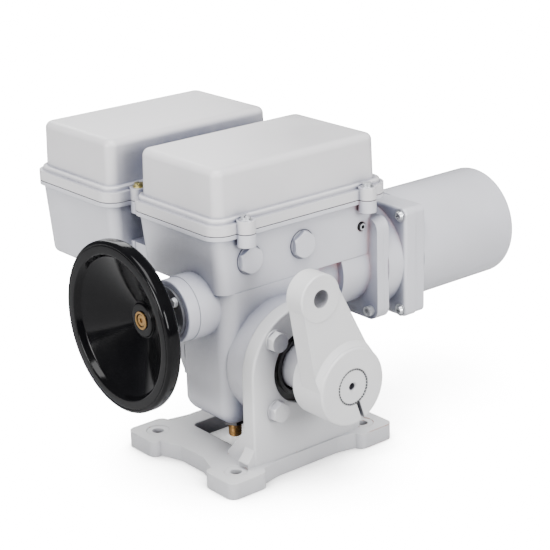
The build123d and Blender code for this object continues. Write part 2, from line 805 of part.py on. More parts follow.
def wheel_key():
    return block(-key_width / 2, key_width / 2, collar_rear, key_rear,
                 shaft_height + output_radius - key_height / 2,
                 shaft_height + output_radius + key_height / 2)


def output_bearing(y):
    bore = output_radius + running_clearance
    return output_frame(y) * ring_bearing(bore, output_bearing_outer, output_bearing_width)


def output_seal():
    ring = along_y(seal_radius - locating_clearance, joint_y + 1, joint_y + seal_width, z=shaft_height)
    ring -= along_y(output_radius + running_clearance, joint_y, joint_y + seal_width + 1, z=shaft_height)
    lip = along_y(seal_radius - 5, joint_y, joint_y + 4, z=shaft_height)
    return ring - (lip - along_y(output_radius + 4, joint_y, joint_y + 4, z=shaft_height))


def dust_ring():
    """Rubber ring in the bore of the upright, with a raised lip near the shaft."""
    ring = along_y(upright_bore_radius - locating_clearance, joint_y - 11, joint_y, z=shaft_height)
    ring -= along_y(output_radius + 9, joint_y - 12, joint_y + 1, z=shaft_height)
    lip = along_y(output_radius + 13, joint_y - 15, joint_y - 10, z=shaft_height)
    return ring + (lip - along_y(output_radius + 9, joint_y - 16, joint_y - 9, z=shaft_height))


def shaft_sleeve():
    """Plain sleeve on the shaft between the crank hub and the bracket."""
    sleeve = along_y(output_radius + 6, crank_serration_end, joint_y - 2, z=shaft_height)
    return sleeve - along_y(output_radius, crank_serration_end - 1, joint_y, z=shaft_height)


def crank_swing(shape):
    """Turn a lever drawn upright about the origin to its angle and put it on the output axis."""
    return Pos(0, 0, shaft_height) * Rot(0, -crank_angle, 0) * shape


clamp_half = math.sqrt(crank_hub_radius ** 2 - clamp_offset ** 2)
clamp_head_seat = clamp_half - 8.0


def crank_lever():
    hub = along_y(crank_hub_radius, crank_front, crank_serration_end)
    hub = fillet(hub.edges(), 3)
    eye_front = crank_front + 7
    eye = along_y(crank_eye_radius, eye_front, eye_front + crank_eye_length, z=crank_length)
    eye = fillet(eye.edges(), 2)
    web_front = eye_front + crank_web_inset
    outline = taper((0, 0), crank_hub_radius - 1.5, (0, crank_length), crank_eye_radius - 1.5)
    web = Pos(0, web_front + crank_web_thickness, 0) * extrude(Plane.XZ * outline, crank_web_thickness)
    fillet_ring = Plane(origin=(0, web_front, 0), x_dir=(1, 0, 0), z_dir=(0, -1, 0)) * Cone(
        crank_hub_radius + crank_blend, crank_hub_radius - 1, crank_blend,
        align=(Align.CENTER, Align.CENTER, Align.MIN))
    reach = Pos(0, web_front, 0) * extrude(Plane.XZ * outline, crank_blend + 1)
    lever = hub + web + eye + (fillet_ring & reach)
    lever -= Plane(origin=(0, crank_front - 1, 0), x_dir=(1, 0, 0), z_dir=(0, 1, 0)) * serrated(
        output_radius + running_clearance, crank_hub_length + 2)
    lever -= block(-crank_slit / 2, crank_slit / 2, crank_front - 1, crank_serration_end + 1,
                   -crank_hub_radius - 1, -output_radius + 3)
    lever -= along_y(crank_eye_bore, eye_front - 1, eye_front + crank_eye_length + 1, z=crank_length)
    clamp_y = crank_front + crank_hub_length / 2
    lever -= along_x(clamp_screw_radius + thread_clearance, -clamp_half + 3, clamp_half + 1,
                     clamp_y, -clamp_offset)
    lever -= along_x(clamp_screw_radius + 4, clamp_head_seat, clamp_half + 12, clamp_y, -clamp_offset)
    return crank_swing(lever)


def crank_clamp_screw():
    clamp_y = crank_front + crank_hub_length / 2
    place = facing((1, 0, 0), (clamp_head_seat, clamp_y, -clamp_offset))
    screw = socket_screw(clamp_screw_radius, clamp_head_seat + clamp_half - 4, clamp_screw_radius + 3, 10)
    return crank_swing(place * screw)


def rear_bearing_cover():
    """Flanged plug that closes the wheel chamber and holds the rear bearing."""
    plug = along_y(wheel_chamber_radius - locating_clearance, rear_bearing_y - 2, case_rear_reach,
                   z=shaft_height)
    plug += along_y(case_joint_screw_circle + rear_cover_flange_margin, case_rear_reach,
                    case_rear_reach + rear_cover_thickness, z=shaft_height)
    plug -= along_y(output_bearing_outer + locating_clearance, rear_bearing_y - 3,
                    rear_bearing_y + output_bearing_width, z=shaft_height)
    plug -= along_y(output_radius + 4, rear_bearing_y, case_rear_reach + 1, z=shaft_height)
    for x, z in around(6, case_joint_screw_circle, 30):
        plug -= along_y(case_cover_screw_radius + 0.4, case_rear_reach - 1,
                        case_rear_reach + rear_cover_thickness + 1, x, shaft_height + z)
    return plug


def rear_bearing_cover_screws():
    screws = []
    for x, z in around(6, case_joint_screw_circle, 30):
        place = facing((0, 1, 0), (x, case_rear_reach + rear_cover_thickness, shaft_height + z))
        screws.append(place * socket_screw(case_cover_screw_radius, rear_cover_thickness + 12, 5, 6))
    return screws


write("output_shaft", output_shaft())
write("worm_wheel", worm_wheel())
write("wheel_key", wheel_key())
write("output_bearing_front", output_bearing(bearing_front_y))
write("output_bearing_rear", output_bearing(rear_bearing_y))
write("output_seal", output_seal())
write("dust_ring", dust_ring())
write("shaft_sleeve", shaft_sleeve())
write("crank_lever", crank_lever())
write("crank_clamp_screw", crank_clamp_screw())
write("rear_bearing_cover", rear_bearing_cover())
write("rear_bearing_cover_screws", rear_bearing_cover_screws())


# ================= worm shaft, its bearings and the handwheel =================

cap_thickness = 16.0
cap_radius = 37.7
cap_spigot_length = -worm_bearing_x - worm_bearing_width / 2 - input_face_x - 0.2
disc_thickness = 4.0
disc_radius = 31.4
cap_face_x = input_face_x - cap_thickness
disc_face_x = cap_face_x - disc_thickness
shaft_seal_radius = 16.0
shaft_left_x = handwheel_hub_front + 2.0
worm_shaft_right_x = worm_bearing_x + 58.0
feedback_gear_radius = 11.0
feedback_gear_width = 10.0
feedback_teeth = 16
coupling_radius = 20.0
motor_shaft_left_x = worm_shaft_right_x + 3.0
shield_bearing_x = adapter_plate_end - 2.0
rear_motor_bearing_x = motor_end_x - can_wall - 2.0 - worm_bearing_width


def worm_frame(x):
    """Plane across the worm axis at x, with its normal towards the motor."""
    return Plane(origin=(x, 0, worm_height), x_dir=(0, 1, 0), z_dir=(1, 0, 0))


def worm_shaft():
    shaft = along_x(worm_journal_radius, disc_face_x - 1, worm_bearing_x + 8, z=worm_height)
    shaft += along_x(worm_end_radius, shaft_left_x, disc_face_x, z=worm_height)
    shaft += along_x(worm_end_radius, worm_bearing_x + 7, worm_shaft_right_x, z=worm_height)
    shaft += along_x(worm_root_radius, -worm_length / 2, worm_length / 2, z=worm_height)
    pitch = 2 * math.pi * (centre_distance - worm_root_radius - 1.5) / wheel_teeth
    threads = int(worm_length / pitch)
    for index in range(threads):
        x = (index - (threads - 1) / 2) * pitch
        cone = Cone(worm_tip_radius + 1.0, worm_root_radius, pitch * 0.42,
                    align=(Align.CENTER, Align.CENTER, Align.MIN))
        ridge = worm_frame(x) * cone
        ridge += worm_frame(x) * Rot(180, 0, 0) * cone
        shaft += ridge & along_x(worm_tip_radius, x - pitch, x + pitch, z=worm_height)
    gear = toothed(feedback_gear_radius, feedback_gear_radius - 1.6, feedback_teeth, feedback_gear_width)
    shaft += worm_frame(feedback_x - feedback_gear_width / 2) * gear
    shaft -= block(shaft_left_x + 2, handwheel_hub_rear - 3, -2.5, 2.5,
                   worm_height + worm_end_radius - 3, worm_height + worm_end_radius + 1)
    return shaft


def worm_bearing(x):
    bore = worm_journal_radius + running_clearance
    return worm_frame(x - worm_bearing_width / 2) * ring_bearing(bore, worm_bearing_outer,
                                                                 worm_bearing_width)


def input_cap():
    """Cap over the left worm bearing, with a spigot in the bearing bore and a seal pocket."""
    cap = along_x(cap_radius, cap_face_x, input_face_x, z=worm_height)
    cap = fillet(cap.edges().group_by(Axis.X)[0], 2)
    cap += along_x(worm_bearing_outer - locating_clearance, input_face_x, input_face_x + cap_spigot_length,
                   z=worm_height)
    cap -= along_x(worm_journal_radius + 1, cap_face_x - 1, input_face_x + 1, z=worm_height)
    cap -= along_x(worm_journal_radius + 7, input_face_x, input_face_x + cap_spigot_length + 1,
                   z=worm_height)
    cap -= along_x(shaft_seal_radius, cap_face_x - 1, cap_face_x + 9, z=worm_height)
    for y, z in around(4, retaining_screw_circle, 45):
        cap -= along_x(retaining_screw_radius + thread_clearance, cap_face_x - 1, cap_face_x + 12,
                       y, worm_height + z)
    return cap


def retaining_disc():
    disc = along_x(disc_radius, disc_face_x, cap_face_x, z=worm_height)
    disc = fillet(disc.edges().group_by(Axis.X)[0], 1)
    disc -= along_x(worm_journal_radius + 1, disc_face_x - 1, cap_face_x + 1, z=worm_height)
    for y, z in around(4, retaining_screw_circle, 45):
        disc -= along_x(retaining_screw_radius + 0.4, disc_face_x - 1, cap_face_x + 1, y, worm_height + z)
    return disc


def retaining_screws():
    screws = []
    for y, z in around(4, retaining_screw_circle, 45):
        place = facing((-1, 0, 0), (disc_face_x, y, worm_height + z))
        screws.append(place * hex_screw(retaining_screw_radius, disc_thickness + 10,
                                        retaining_screw_flats, retaining_screw_head))
    return screws


def worm_seal():
    ring = along_x(shaft_seal_radius - locating_clearance, cap_face_x + 0.2, cap_face_x + 9, z=worm_height)
    return ring - along_x(worm_journal_radius + running_clearance, cap_face_x, cap_face_x + 10,
                          z=worm_height)


def wheel_profile():
    """Half section of the handwheel: distance from its axis, then distance behind the front face."""
    rim_inner = handwheel_radius - handwheel_rim_depth
    hub_depth = handwheel_hub_front - handwheel_front
    hub_length = handwheel_hub_rear - handwheel_front
    wall = handwheel_wall
    back = handwheel_rim_width
    radius = handwheel_radius
    return [
        Line((0, hub_depth), (handwheel_hub_radius - 2, hub_depth)),
        ThreePointArc((handwheel_hub_radius - 2, hub_depth), (handwheel_hub_radius - 0.6, hub_depth + 0.6),
                      (handwheel_hub_radius, hub_depth + 2)),
        Line((handwheel_hub_radius, hub_depth + 2), (handwheel_hub_radius + 1, hub_depth + 2)),
        Line((handwheel_hub_radius + 1, hub_depth + 2), (rim_inner - 4, 8)),
        ThreePointArc((rim_inner - 4, 8), (rim_inner - 1.5, 6), (rim_inner, 3)),
        ThreePointArc((rim_inner, 3), (rim_inner + 1, 1), (rim_inner + 3, 0)),
        Line((rim_inner + 3, 0), (radius - 6, 0)),
        ThreePointArc((radius - 6, 0), (radius - 1.8, 1.8), (radius, 6)),
        Line((radius, 6), (radius, back - 6)),
        ThreePointArc((radius, back - 6), (radius - 1.8, back - 1.8), (radius - 6, back)),
        Line((radius - 6, back), (rim_inner + 2, back)),
        ThreePointArc((rim_inner + 2, back), (rim_inner - 2, back - 1), (rim_inner - 6, 8 + wall + 2)),
        Line((rim_inner - 6, 8 + wall + 2), (handwheel_hub_radius + 7, hub_depth + wall + 1)),
        ThreePointArc((handwheel_hub_radius + 7, hub_depth + wall + 1),
                      (handwheel_hub_radius + 3, hub_depth + wall + 3.5),
                      (handwheel_hub_radius + 2, hub_depth + wall + 7)),
        Line((handwheel_hub_radius + 2, hub_depth + wall + 7), (handwheel_hub_radius, hub_length)),
        Line((handwheel_hub_radius, hub_length), (0, hub_length)),
        Line((0, hub_length), (0, hub_depth)),
    ]


def handwheel():
    """Dished disc wheel turned about the worm axis, with a fine groove in the face of its rim."""
    section = Plane(origin=(handwheel_front, 0, worm_height), x_dir=(0, 0, 1), z_dir=(0, 1, 0))
    turned = revolve(section * make_face(wheel_profile()), Axis((0, 0, worm_height), (1, 0, 0)))
    turned -= along_x(bush_radius, handwheel_hub_front - 1, handwheel_hub_rear + 1, z=worm_height)
    groove = along_x(handwheel_radius - 4.6, handwheel_front - 1, handwheel_front + 0.7, z=worm_height)
    groove -= along_x(handwheel_radius - 5.8, handwheel_front - 2, handwheel_front + 1, z=worm_height)
    return turned - groove


def handwheel_bush():
    bush = along_x(bush_radius, handwheel_hub_front - 1.5, handwheel_hub_rear, z=worm_height)
    bush -= along_x(worm_end_radius, handwheel_hub_front - 2.5, handwheel_hub_rear + 1, z=worm_height)
    return bush - block(shaft_left_x + 2, handwheel_hub_rear + 1, -2.5, 2.5,
                        worm_height, worm_height + worm_end_radius + 2)


def handwheel_key():
    return block(shaft_left_x + 2, handwheel_hub_rear - 3, -2.5, 2.5,
                 worm_height + worm_end_radius - 3, worm_height + worm_end_radius + 2)


def handwheel_screw():
    """Screw and washer in the mouth of the bush, on the end of the shaft."""
    head = along_x(6.6, shaft_left_x - 2.6, shaft_left_x, z=worm_height)
    socket = worm_frame(shaft_left_x - 3) * hexagon(5, 2.4)
    return head - socket


write("worm_shaft", worm_shaft())
write("worm_bearing_left", worm_bearing(-worm_bearing_x))
write("worm_bearing_right", worm_bearing(worm_bearing_x))
write("input_cap", input_cap())
write("retaining_disc", retaining_disc())
write("retaining_screws", retaining_screws())
write("worm_seal", worm_seal())
write("handwheel", handwheel())
write("handwheel_bush", handwheel_bush())
write("handwheel_key", handwheel_key())
write("handwheel_screw", handwheel_screw())


# ================= motor =================

adapter_bore_radius = 40.0
shield_screw_radius = 3.0
shield_screw_place = motor_plate_half - 9.0
shield_bearing_start = adapter_plate_end - 6.0
can_spigot_length = 5.0
core_start_x = can_start_x + 24.0
rotor_end_x = core_start_x + stator_length


def motor_adapter():
    """Flange on the case, round neck and square plate in one casting."""
    body = square_plate(motor_flange_half, motor_face_x, motor_face_x + adapter_flange_thickness,
                        15, worm_height)
    body += along_x(motor_neck_radius, motor_face_x + adapter_flange_thickness - 1, neck_end_x + 1,
                    z=worm_height)
    plate = square_plate(motor_plate_half, neck_end_x, adapter_plate_end, 8, worm_height)
    body += fillet(plate.edges().group_by(Axis.X)[0], 4)
    body -= along_x(adapter_bore_radius, motor_face_x - 1, adapter_plate_end - 6, z=worm_height)
    body -= along_x(worm_bearing_outer + 4 + locating_clearance, adapter_plate_end - 8,
                    adapter_plate_end + 1,
                    z=worm_height)
    for y, z in adapter_screw_places:
        body -= along_x(adapter_screw_radius + thread_clearance, motor_face_x - 1, motor_face_x + 12,
                        y, worm_height + z)
    for y in (-shield_screw_place, shield_screw_place):
        for z in (-shield_screw_place, shield_screw_place):
            body -= along_x(shield_screw_radius + 0.4, neck_end_x - 1, adapter_plate_end + 1, y,
                            worm_height + z)
    return body


def adapter_screws():
    screws = []
    for y, z in adapter_screw_places:
        place = facing((-1, 0, 0), (motor_face_x - case_flange_thickness, y, worm_height + z))
        screws.append(place * socket_screw(adapter_screw_radius, case_flange_thickness + 8, 6.5, 7))
    return screws


def plate_screws():
    """Pan-head screws at the corners of the square plate, on the side away from the motor."""
    screws = []
    for y in (-shield_screw_place, shield_screw_place):
        for z in (-shield_screw_place, shield_screw_place):
            screw = along_z(shield_screw_radius, -adapter_plate_thickness - 9, 1)
            screw += along_z(8, 0, 1)
            head = Pos(0, 0, 1) * Cone(6, 4.6, 3.6, align=(Align.CENTER, Align.CENTER, Align.MIN))
            head -= block(-3.6, 3.6, -0.7, 0.7, 2.6, 6) + block(-0.7, 0.7, -3.6, 3.6, 2.6, 6)
            place = facing((-1, 0, 0), (neck_end_x, y, worm_height + z))
            screws.append(place * (screw + head))
    return screws


def motor_shield():
    """Square end shield of the motor with the front bearing seat and the spigot for the can."""
    body = square_plate(motor_plate_half - 0.8, adapter_plate_end, can_start_x, 8, worm_height)
    body += along_x(worm_bearing_outer + 4, adapter_plate_end - 6, adapter_plate_end + 1, z=worm_height)
    body += along_x(motor_radius - can_wall - locating_clearance, can_start_x - 1,
                    can_start_x + can_spigot_length,
                    z=worm_height)
    body -= along_x(worm_bearing_outer + locating_clearance, shield_bearing_start + 2,
                    can_start_x + can_spigot_length + 1, z=worm_height)
    body -= along_x(worm_end_radius + 2, shield_bearing_start - 1, shield_bearing_start + 3, z=worm_height)
    body -= along_x(motor_radius - can_wall - 6, can_start_x, can_start_x + can_spigot_length + 1,
                    z=worm_height)
    for y in (-shield_screw_place, shield_screw_place):
        for z in (-shield_screw_place, shield_screw_place):
            body -= along_x(shield_screw_radius + thread_clearance, adapter_plate_end - 1,
                            adapter_plate_end + 10,
                            y, worm_height + z)
    return body


def motor_can():
    can = along_x(motor_radius, can_start_x, motor_end_x, z=worm_height)
    can = fillet(can.edges().group_by(Axis.X)[-1], 5)
    hollow_end = motor_end_x - can_wall
    can -= along_x(motor_radius - can_wall, can_start_x - 1, hollow_end, z=worm_height)
    seat = along_x(worm_bearing_outer + 5, rear_motor_bearing_x, hollow_end + 1, z=worm_height)
    seat -= along_x(worm_bearing_outer + locating_clearance, rear_motor_bearing_x - 1,
                    rear_motor_bearing_x + worm_bearing_width, z=worm_height)
    return can + seat


def motor_bearing(start):
    bore = worm_journal_radius + running_clearance
    return worm_frame(start) * ring_bearing(bore, worm_bearing_outer, worm_bearing_width)


def stator():
    """Laminated ring with open slots on its inner side."""
    core = along_x(motor_radius - can_wall - locating_clearance, core_start_x, rotor_end_x, z=worm_height)
    core -= along_x(rotor_radius + rotor_gap, core_start_x - 1, rotor_end_x + 1, z=worm_height)
    for index in range(24):
        slot = block(core_start_x - 1, rotor_end_x + 1, -1.5, 1.5, rotor_radius - 1, rotor_radius + 14)
        core -= Pos(0, 0, worm_height) * Rot(15 * index, 0, 0) * slot
    return core


def stator_winding():
    """End turns of the winding: one rounded ring at each end of the core."""
    rings = []
    for start in (core_start_x - 14, rotor_end_x):
        ring = along_x(rotor_radius + 22, start, start + 14, z=worm_height)
        ring -= along_x(rotor_radius + 4, start - 1, start + 15, z=worm_height)
        rings.append(fillet(ring.edges(), 4))
    return rings


def rotor():
    core = along_x(rotor_radius, core_start_x, rotor_end_x, z=worm_height)
    for start in (core_start_x - 6, rotor_end_x):
        core += along_x(rotor_radius - 3, start, start + 6, z=worm_height)
    return core - along_x(worm_journal_radius + 3, core_start_x - 7, rotor_end_x + 7, z=worm_height)


def motor_shaft():
    shaft = along_x(worm_end_radius, motor_shaft_left_x, shield_bearing_start + 3, z=worm_height)
    shaft += along_x(worm_journal_radius, shield_bearing_start + 2,
                     rear_motor_bearing_x + worm_bearing_width - 1,
                     z=worm_height)
    return shaft + along_x(worm_journal_radius + 3, core_start_x - 8, rotor_end_x + 8, z=worm_height)


def shaft_coupling():
    """Plain sleeve over both shaft ends, with two set-screw holes."""
    start = worm_shaft_right_x - 24
    end = motor_shaft_left_x + 24
    sleeve = along_x(coupling_radius, start, end, z=worm_height)
    sleeve -= along_x(worm_end_radius, start - 1, end + 1, z=worm_height)
    for x in (start + 9, end - 9):
        sleeve -= along_z(3, worm_height, worm_height + coupling_radius + 1, x)
    return sleeve


write("motor_adapter", motor_adapter())
write("adapter_screws", adapter_screws())
write("plate_screws", plate_screws())
write("motor_shield", motor_shield())
write("motor_can", motor_can())
write("motor_bearing_front", motor_bearing(shield_bearing_start + 2))
write("motor_bearing_rear", motor_bearing(rear_motor_bearing_x))
write("stator", stator())
write("stator_winding", stator_winding())
write("rotor", rotor())
write("motor_shaft", motor_shaft())
write("shaft_coupling", shaft_coupling())


# ================= inside the boxes =================

feedback_shaft_radius = 4.0
floor_z = box_underside + box_wall
feedback_bush_height = 10.0
potentiometer_radius = 11.0
potentiometer_z = floor_z + 26.0
bracket_thickness = 3.0


def feedback_shaft():
    """Upright shaft with its gear beside the worm, running up to the potentiometer."""
    low = worm_height - 10
    shaft = along_z(feedback_shaft_radius, low, floor_z + 14, feedback_x, feedback_y)
    shaft += along_z(feedback_shaft_radius - 1, floor_z + 13, potentiometer_z + 8, feedback_x, feedback_y)
    gear_radius = feedback_y - feedback_gear_radius - mesh_gap
    gear = Pos(feedback_x, feedback_y, worm_height - feedback_gear_width / 2) * toothed(
        gear_radius, gear_radius - 1.6, feedback_teeth, feedback_gear_width)
    return shaft + gear


def feedback_bush():
    bush = along_z(feedback_bore_radius - locating_clearance, floor_z - feedback_bush_height, floor_z,
                   feedback_x, feedback_y)
    bush += along_z(feedback_bore_radius + 4, floor_z, floor_z + 3, feedback_x, feedback_y)
    return bush - along_z(feedback_shaft_radius + running_clearance, floor_z - feedback_bush_height - 1,
                          floor_z + 4, feedback_x, feedback_y)


def potentiometer():
    body = along_z(potentiometer_radius, potentiometer_z, potentiometer_z + 24, feedback_x, feedback_y)
    body -= along_z(feedback_shaft_radius - 1 + running_clearance, potentiometer_z - 1, potentiometer_z + 9,
                    feedback_x, feedback_y)
    for side in (-1, 0, 1):
        body += block(feedback_x + side * 6 - 1, feedback_x + side * 6 + 1,
                      feedback_y + potentiometer_radius - 3, feedback_y + potentiometer_radius + 5,
                      potentiometer_z + 8, potentiometer_z + 9)
    return body


def potentiometer_bracket():
    top = potentiometer_z
    plate = block(feedback_x - 28, feedback_x + 28, feedback_y - 12, feedback_y + 12,
                  top - bracket_thickness, top)
    for side in (-1, 1):
        plate += along_z(4, floor_z, top - bracket_thickness + 1, feedback_x + side * 22, feedback_y)
    return plate - along_z(feedback_shaft_radius + 1, top - bracket_thickness - 1, top + 1,
                           feedback_x, feedback_y)


terminal_count = 8
terminal_pitch = 9.0
terminal_left = -64.0
terminal_y = -26.0


def terminal_block():
    right = terminal_left + terminal_count * terminal_pitch
    body = block(terminal_left, right, terminal_y - 11, terminal_y + 11, floor_z, floor_z + 8)
    body += block(terminal_left, right, terminal_y - 6, terminal_y + 6, floor_z, floor_z + 20)
    for index in range(terminal_count + 1):
        x = terminal_left + index * terminal_pitch
        body += block(max(x - 0.8, terminal_left), min(x + 0.8, right), terminal_y - 11, terminal_y + 11,
                      floor_z, floor_z + 17)
    for index in range(terminal_count):
        x = terminal_left + (index + 0.5) * terminal_pitch
        for side in (-1, 1):
            body -= along_z(1.6, floor_z + 4, floor_z + 9, x, terminal_y + side * 8.4)
    return body


def terminal_screws():
    screws = []
    for index in range(terminal_count):
        x = terminal_left + (index + 0.5) * terminal_pitch
        for side in (-1, 1):
            screw = along_z(1.6, -4, 0) + along_z(2.3, 0, 1.6) - block(-2.3, 2.3, -0.4, 0.4, 0.8, 2)
            screws.append(Pos(x, terminal_y + side * 8.4, floor_z + 8) * screw)
    return screws


def control_board():
    board = block(board_left, board_left + board_length, board_front, board_front + board_width,
                  board_z, board_z + 1.6)
    for x, y in board_corners():
        board -= along_z(1.6, board_z - 1, board_z + 3, x, y)
    return board


def relays():
    """Two reversing relays standing on the board."""
    bodies = []
    for index in range(2):
        x = board_left + (12 + 20 * index) * board_step
        body = tray(x, x + 14.5 * board_step, board_front + 20, board_front + 56,
                    board_z + 1.6, board_z + 28, 1.5)
        bodies.append(fillet(body.edges().group_by(Axis.Z)[-1], 1))
    return bodies


def capacitor():
    """Motor capacitor lying along the board."""
    x = board_left + 56 * board_step
    y = board_front + 42
    radius = 15.0
    can = along_x(radius, x, x + 31 * board_step, y, board_z + 1.6 + radius)
    return fillet(can.edges(), 2)


def board_connectors():
    blocks = []
    for index in range(3):
        x = board_left + (11 + 25 * index) * board_step
        body = block(x, x + 18 * board_step, board_front + 74, board_front + 84, board_z + 1.6, board_z + 13)
        for way in range(7):
            body -= along_z(1.5, board_z + 9, board_z + 14, x + (1.5 + 2.5 * way) * board_step,
                            board_front + 79)
        blocks.append(body)
    return blocks


write("feedback_shaft", feedback_shaft())
write("feedback_bush", feedback_bush())
write("potentiometer", potentiometer())
write("potentiometer_bracket", potentiometer_bracket())
write("terminal_block", terminal_block())
write("terminal_screws", terminal_screws())
write("control_board", control_board())
write("relays", relays())
write("capacitor", capacitor())
write("board_connectors", board_connectors())
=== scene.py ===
"""Finishes, fine pieces, camera and light for a motorized valve actuator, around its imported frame."""

import json
import math

import bpy
import numpy as np
from mathutils import Matrix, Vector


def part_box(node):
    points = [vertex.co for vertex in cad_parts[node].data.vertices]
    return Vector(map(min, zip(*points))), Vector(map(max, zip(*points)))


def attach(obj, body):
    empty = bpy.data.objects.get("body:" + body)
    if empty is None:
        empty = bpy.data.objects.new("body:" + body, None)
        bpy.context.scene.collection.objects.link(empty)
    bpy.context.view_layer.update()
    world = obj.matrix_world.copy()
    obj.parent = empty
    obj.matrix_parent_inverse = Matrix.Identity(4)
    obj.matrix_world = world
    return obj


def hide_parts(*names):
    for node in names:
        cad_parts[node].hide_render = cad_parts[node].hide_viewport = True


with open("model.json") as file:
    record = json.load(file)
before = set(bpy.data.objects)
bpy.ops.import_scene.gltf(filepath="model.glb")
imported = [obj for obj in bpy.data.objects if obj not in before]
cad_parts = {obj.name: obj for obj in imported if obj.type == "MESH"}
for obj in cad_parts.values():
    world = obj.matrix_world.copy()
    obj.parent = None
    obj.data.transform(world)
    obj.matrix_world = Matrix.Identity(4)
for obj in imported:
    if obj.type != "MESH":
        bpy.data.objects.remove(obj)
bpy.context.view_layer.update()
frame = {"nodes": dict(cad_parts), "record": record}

MM = 0.001
FULL_TURN = 2 * math.pi


# ---------------------------------------------------------------- node trees


class Nodes:
    """Fills a shader tree: each call adds a node, joins or sets its inputs, and gives one output."""

    def __init__(self, tree):
        self.tree = tree

    def put(self, socket, value):
        if isinstance(value, bpy.types.NodeSocket):
            self.tree.links.new(value, socket)
        elif value is not None:
            if socket.type == "RGBA" and len(value) == 3:
                value = (*value, 1.0)
            socket.default_value = value

    def add(self, kind, inputs=None, out=0, **settings):
        node = self.tree.nodes.new("ShaderNode" + kind)
        for name, value in settings.items():
            setattr(node, name, value)
        for key, value in (inputs or {}).items():
            self.put(node.inputs[key], value)
        return node if out is None else node.outputs[out]

    def math(self, operation, first, second=None, third=None):
        return self.add("Math", {0: first, 1: second, 2: third}, operation=operation)

    def vector(self, operation, first, second=None, out=0):
        return self.add("VectorMath", {0: first, 1: second}, out, operation=operation)

    def ramp(self, value, low, high, start=0.0, end=1.0):
        """Smooth step from start to end as the value goes from low to high."""
        return self.add("MapRange", {"Value": value, "From Min": low, "From Max": high, "To Min": start,
                                     "To Max": end}, interpolation_type="SMOOTHSTEP")

    def mix(self, factor, first, second, mode="MIX"):
        return self.add("Mix", {0: factor, 6: first, 7: second}, 2, data_type="RGBA", blend_type=mode)

    def noise(self, place, scale, detail=2.0, roughness=0.5):
        return self.add("TexNoise", {"Vector": place, "Scale": scale, "Detail": detail,
                                     "Roughness": roughness})

    def object_place(self):
        return self.add("TexCoord", out="Object")

    def group(self, tree, inputs):
        node = self.tree.nodes.new("ShaderNodeGroup")
        node.node_tree = tree
        for key, value in inputs.items():
            self.put(node.inputs[key], value)
        return node.outputs


FLOAT, VECTOR = "NodeSocketFloat", "NodeSocketVector"


def new_group(name, inputs, outputs):
    """An empty group with named sockets: its tree, its filler, what comes in, and where results go."""
    tree = bpy.data.node_groups.new(name, "ShaderNodeTree")
    for label, kind in inputs.items():
        tree.interface.new_socket(name=label, in_out="INPUT", socket_type=kind)
    for label, kind in outputs.items():
        tree.interface.new_socket(name=label, in_out="OUTPUT", socket_type=kind)
    given = tree.nodes.new("NodeGroupInput")
    result = tree.nodes.new("NodeGroupOutput")
    return tree, Nodes(tree), given.outputs, result.inputs


def edge_highlight_and_wear_group():
    """Rounds sharp edges to a radius, and marks where that turned the surface: the edges, for rubbed
    paint and chips, and for pale edges painted as a highlight.
    """
    tree, n, given, result = new_group("edge_highlight_and_wear", {"Radius": FLOAT},
                                       {"Normal": VECTOR, "Edge": FLOAT})
    rounded = n.add("Bevel", {"Radius": given["Radius"]}, samples=6)
    facing = n.add("NewGeometry", out="Normal")
    agree = n.vector("DOT_PRODUCT", rounded, facing, out="Value")
    n.put(result["Normal"], rounded)
    n.put(result["Edge"], n.ramp(agree, 0.995, 0.86))
    return tree


def crevice_group():
    """Marks inner corners, broken up by noise (darkened as dust, tarnish and painted shade), and the
    deep gaps, painted near-black as shade and grime.
    """
    tree, n, given, result = new_group("crevice", {"Vector": VECTOR, "Distance": FLOAT},
                                       {"Crevice": FLOAT, "Deep": FLOAT})
    openness = n.add("AmbientOcclusion", {"Distance": given["Distance"]}, "AO", samples=6)
    patchy = n.noise(given["Vector"], 130.0, 3.0, 0.6)
    closed = n.math("SUBTRACT", 1.0, openness)
    dirt = n.math("MULTIPLY", closed, n.math("ADD", patchy, 0.55))
    n.put(result["Crevice"], n.ramp(dirt, 0.26, 0.90))
    n.put(result["Deep"], n.ramp(closed, 0.66, 0.86))
    return tree


def recess_shade_group():
    """Painted shade for broad recesses: how shut in a place is within a hand's breadth."""
    tree, n, given, result = new_group("recess_shade", {"Vector": VECTOR, "Distance": FLOAT},
                                       {"Recess": FLOAT})
    openness = n.add("AmbientOcclusion", {"Distance": given["Distance"]}, "AO", samples=6)
    uneven = n.ramp(n.noise(given["Vector"], 12.0, 3.0), 0.3, 0.7, 0.85, 1.1)
    n.put(result["Recess"], n.math("MULTIPLY", n.ramp(openness, 0.88, 0.40), uneven))
    return tree


def cast_skin_group():
    """Height of a sanded casting under enamel: soft hollows, sand grain and orange peel added up."""
    tree, n, given, result = new_group("cast_skin", {"Vector": VECTOR, "Grain": FLOAT, "Peel": FLOAT},
                                       {"Height": FLOAT, "Tone": FLOAT})
    hollows = n.noise(given["Vector"], 28.0, 2.0)
    grain = n.noise(given["Vector"], 330.0, 3.0, 0.65)
    peel = n.noise(given["Vector"], 720.0, 1.0)
    height = n.math("MULTIPLY_ADD", grain, given["Grain"], n.math("MULTIPLY", peel, given["Peel"]))
    n.put(result["Height"], n.math("ADD", height, hollows))
    n.put(result["Tone"], n.noise(given["Vector"], 9.0, 3.0))
    return tree


def chips_group():
    """Where enamel has flaked: noise blots that only open near rubbed edges, by an amount."""
    tree, n, given, result = new_group("chips", {"Vector": VECTOR, "Edge": FLOAT, "Amount": FLOAT},
                                       {"Chip": FLOAT, "Rim": FLOAT})
    blot = n.noise(given["Vector"], 95.0, 4.0, 0.62)
    reach = n.math("MULTIPLY", given["Edge"], given["Amount"])
    level = n.math("ADD", blot, reach)
    n.put(result["Chip"], n.ramp(level, 0.80, 0.84))
    n.put(result["Rim"], n.ramp(level, 0.74, 0.80))
    return tree


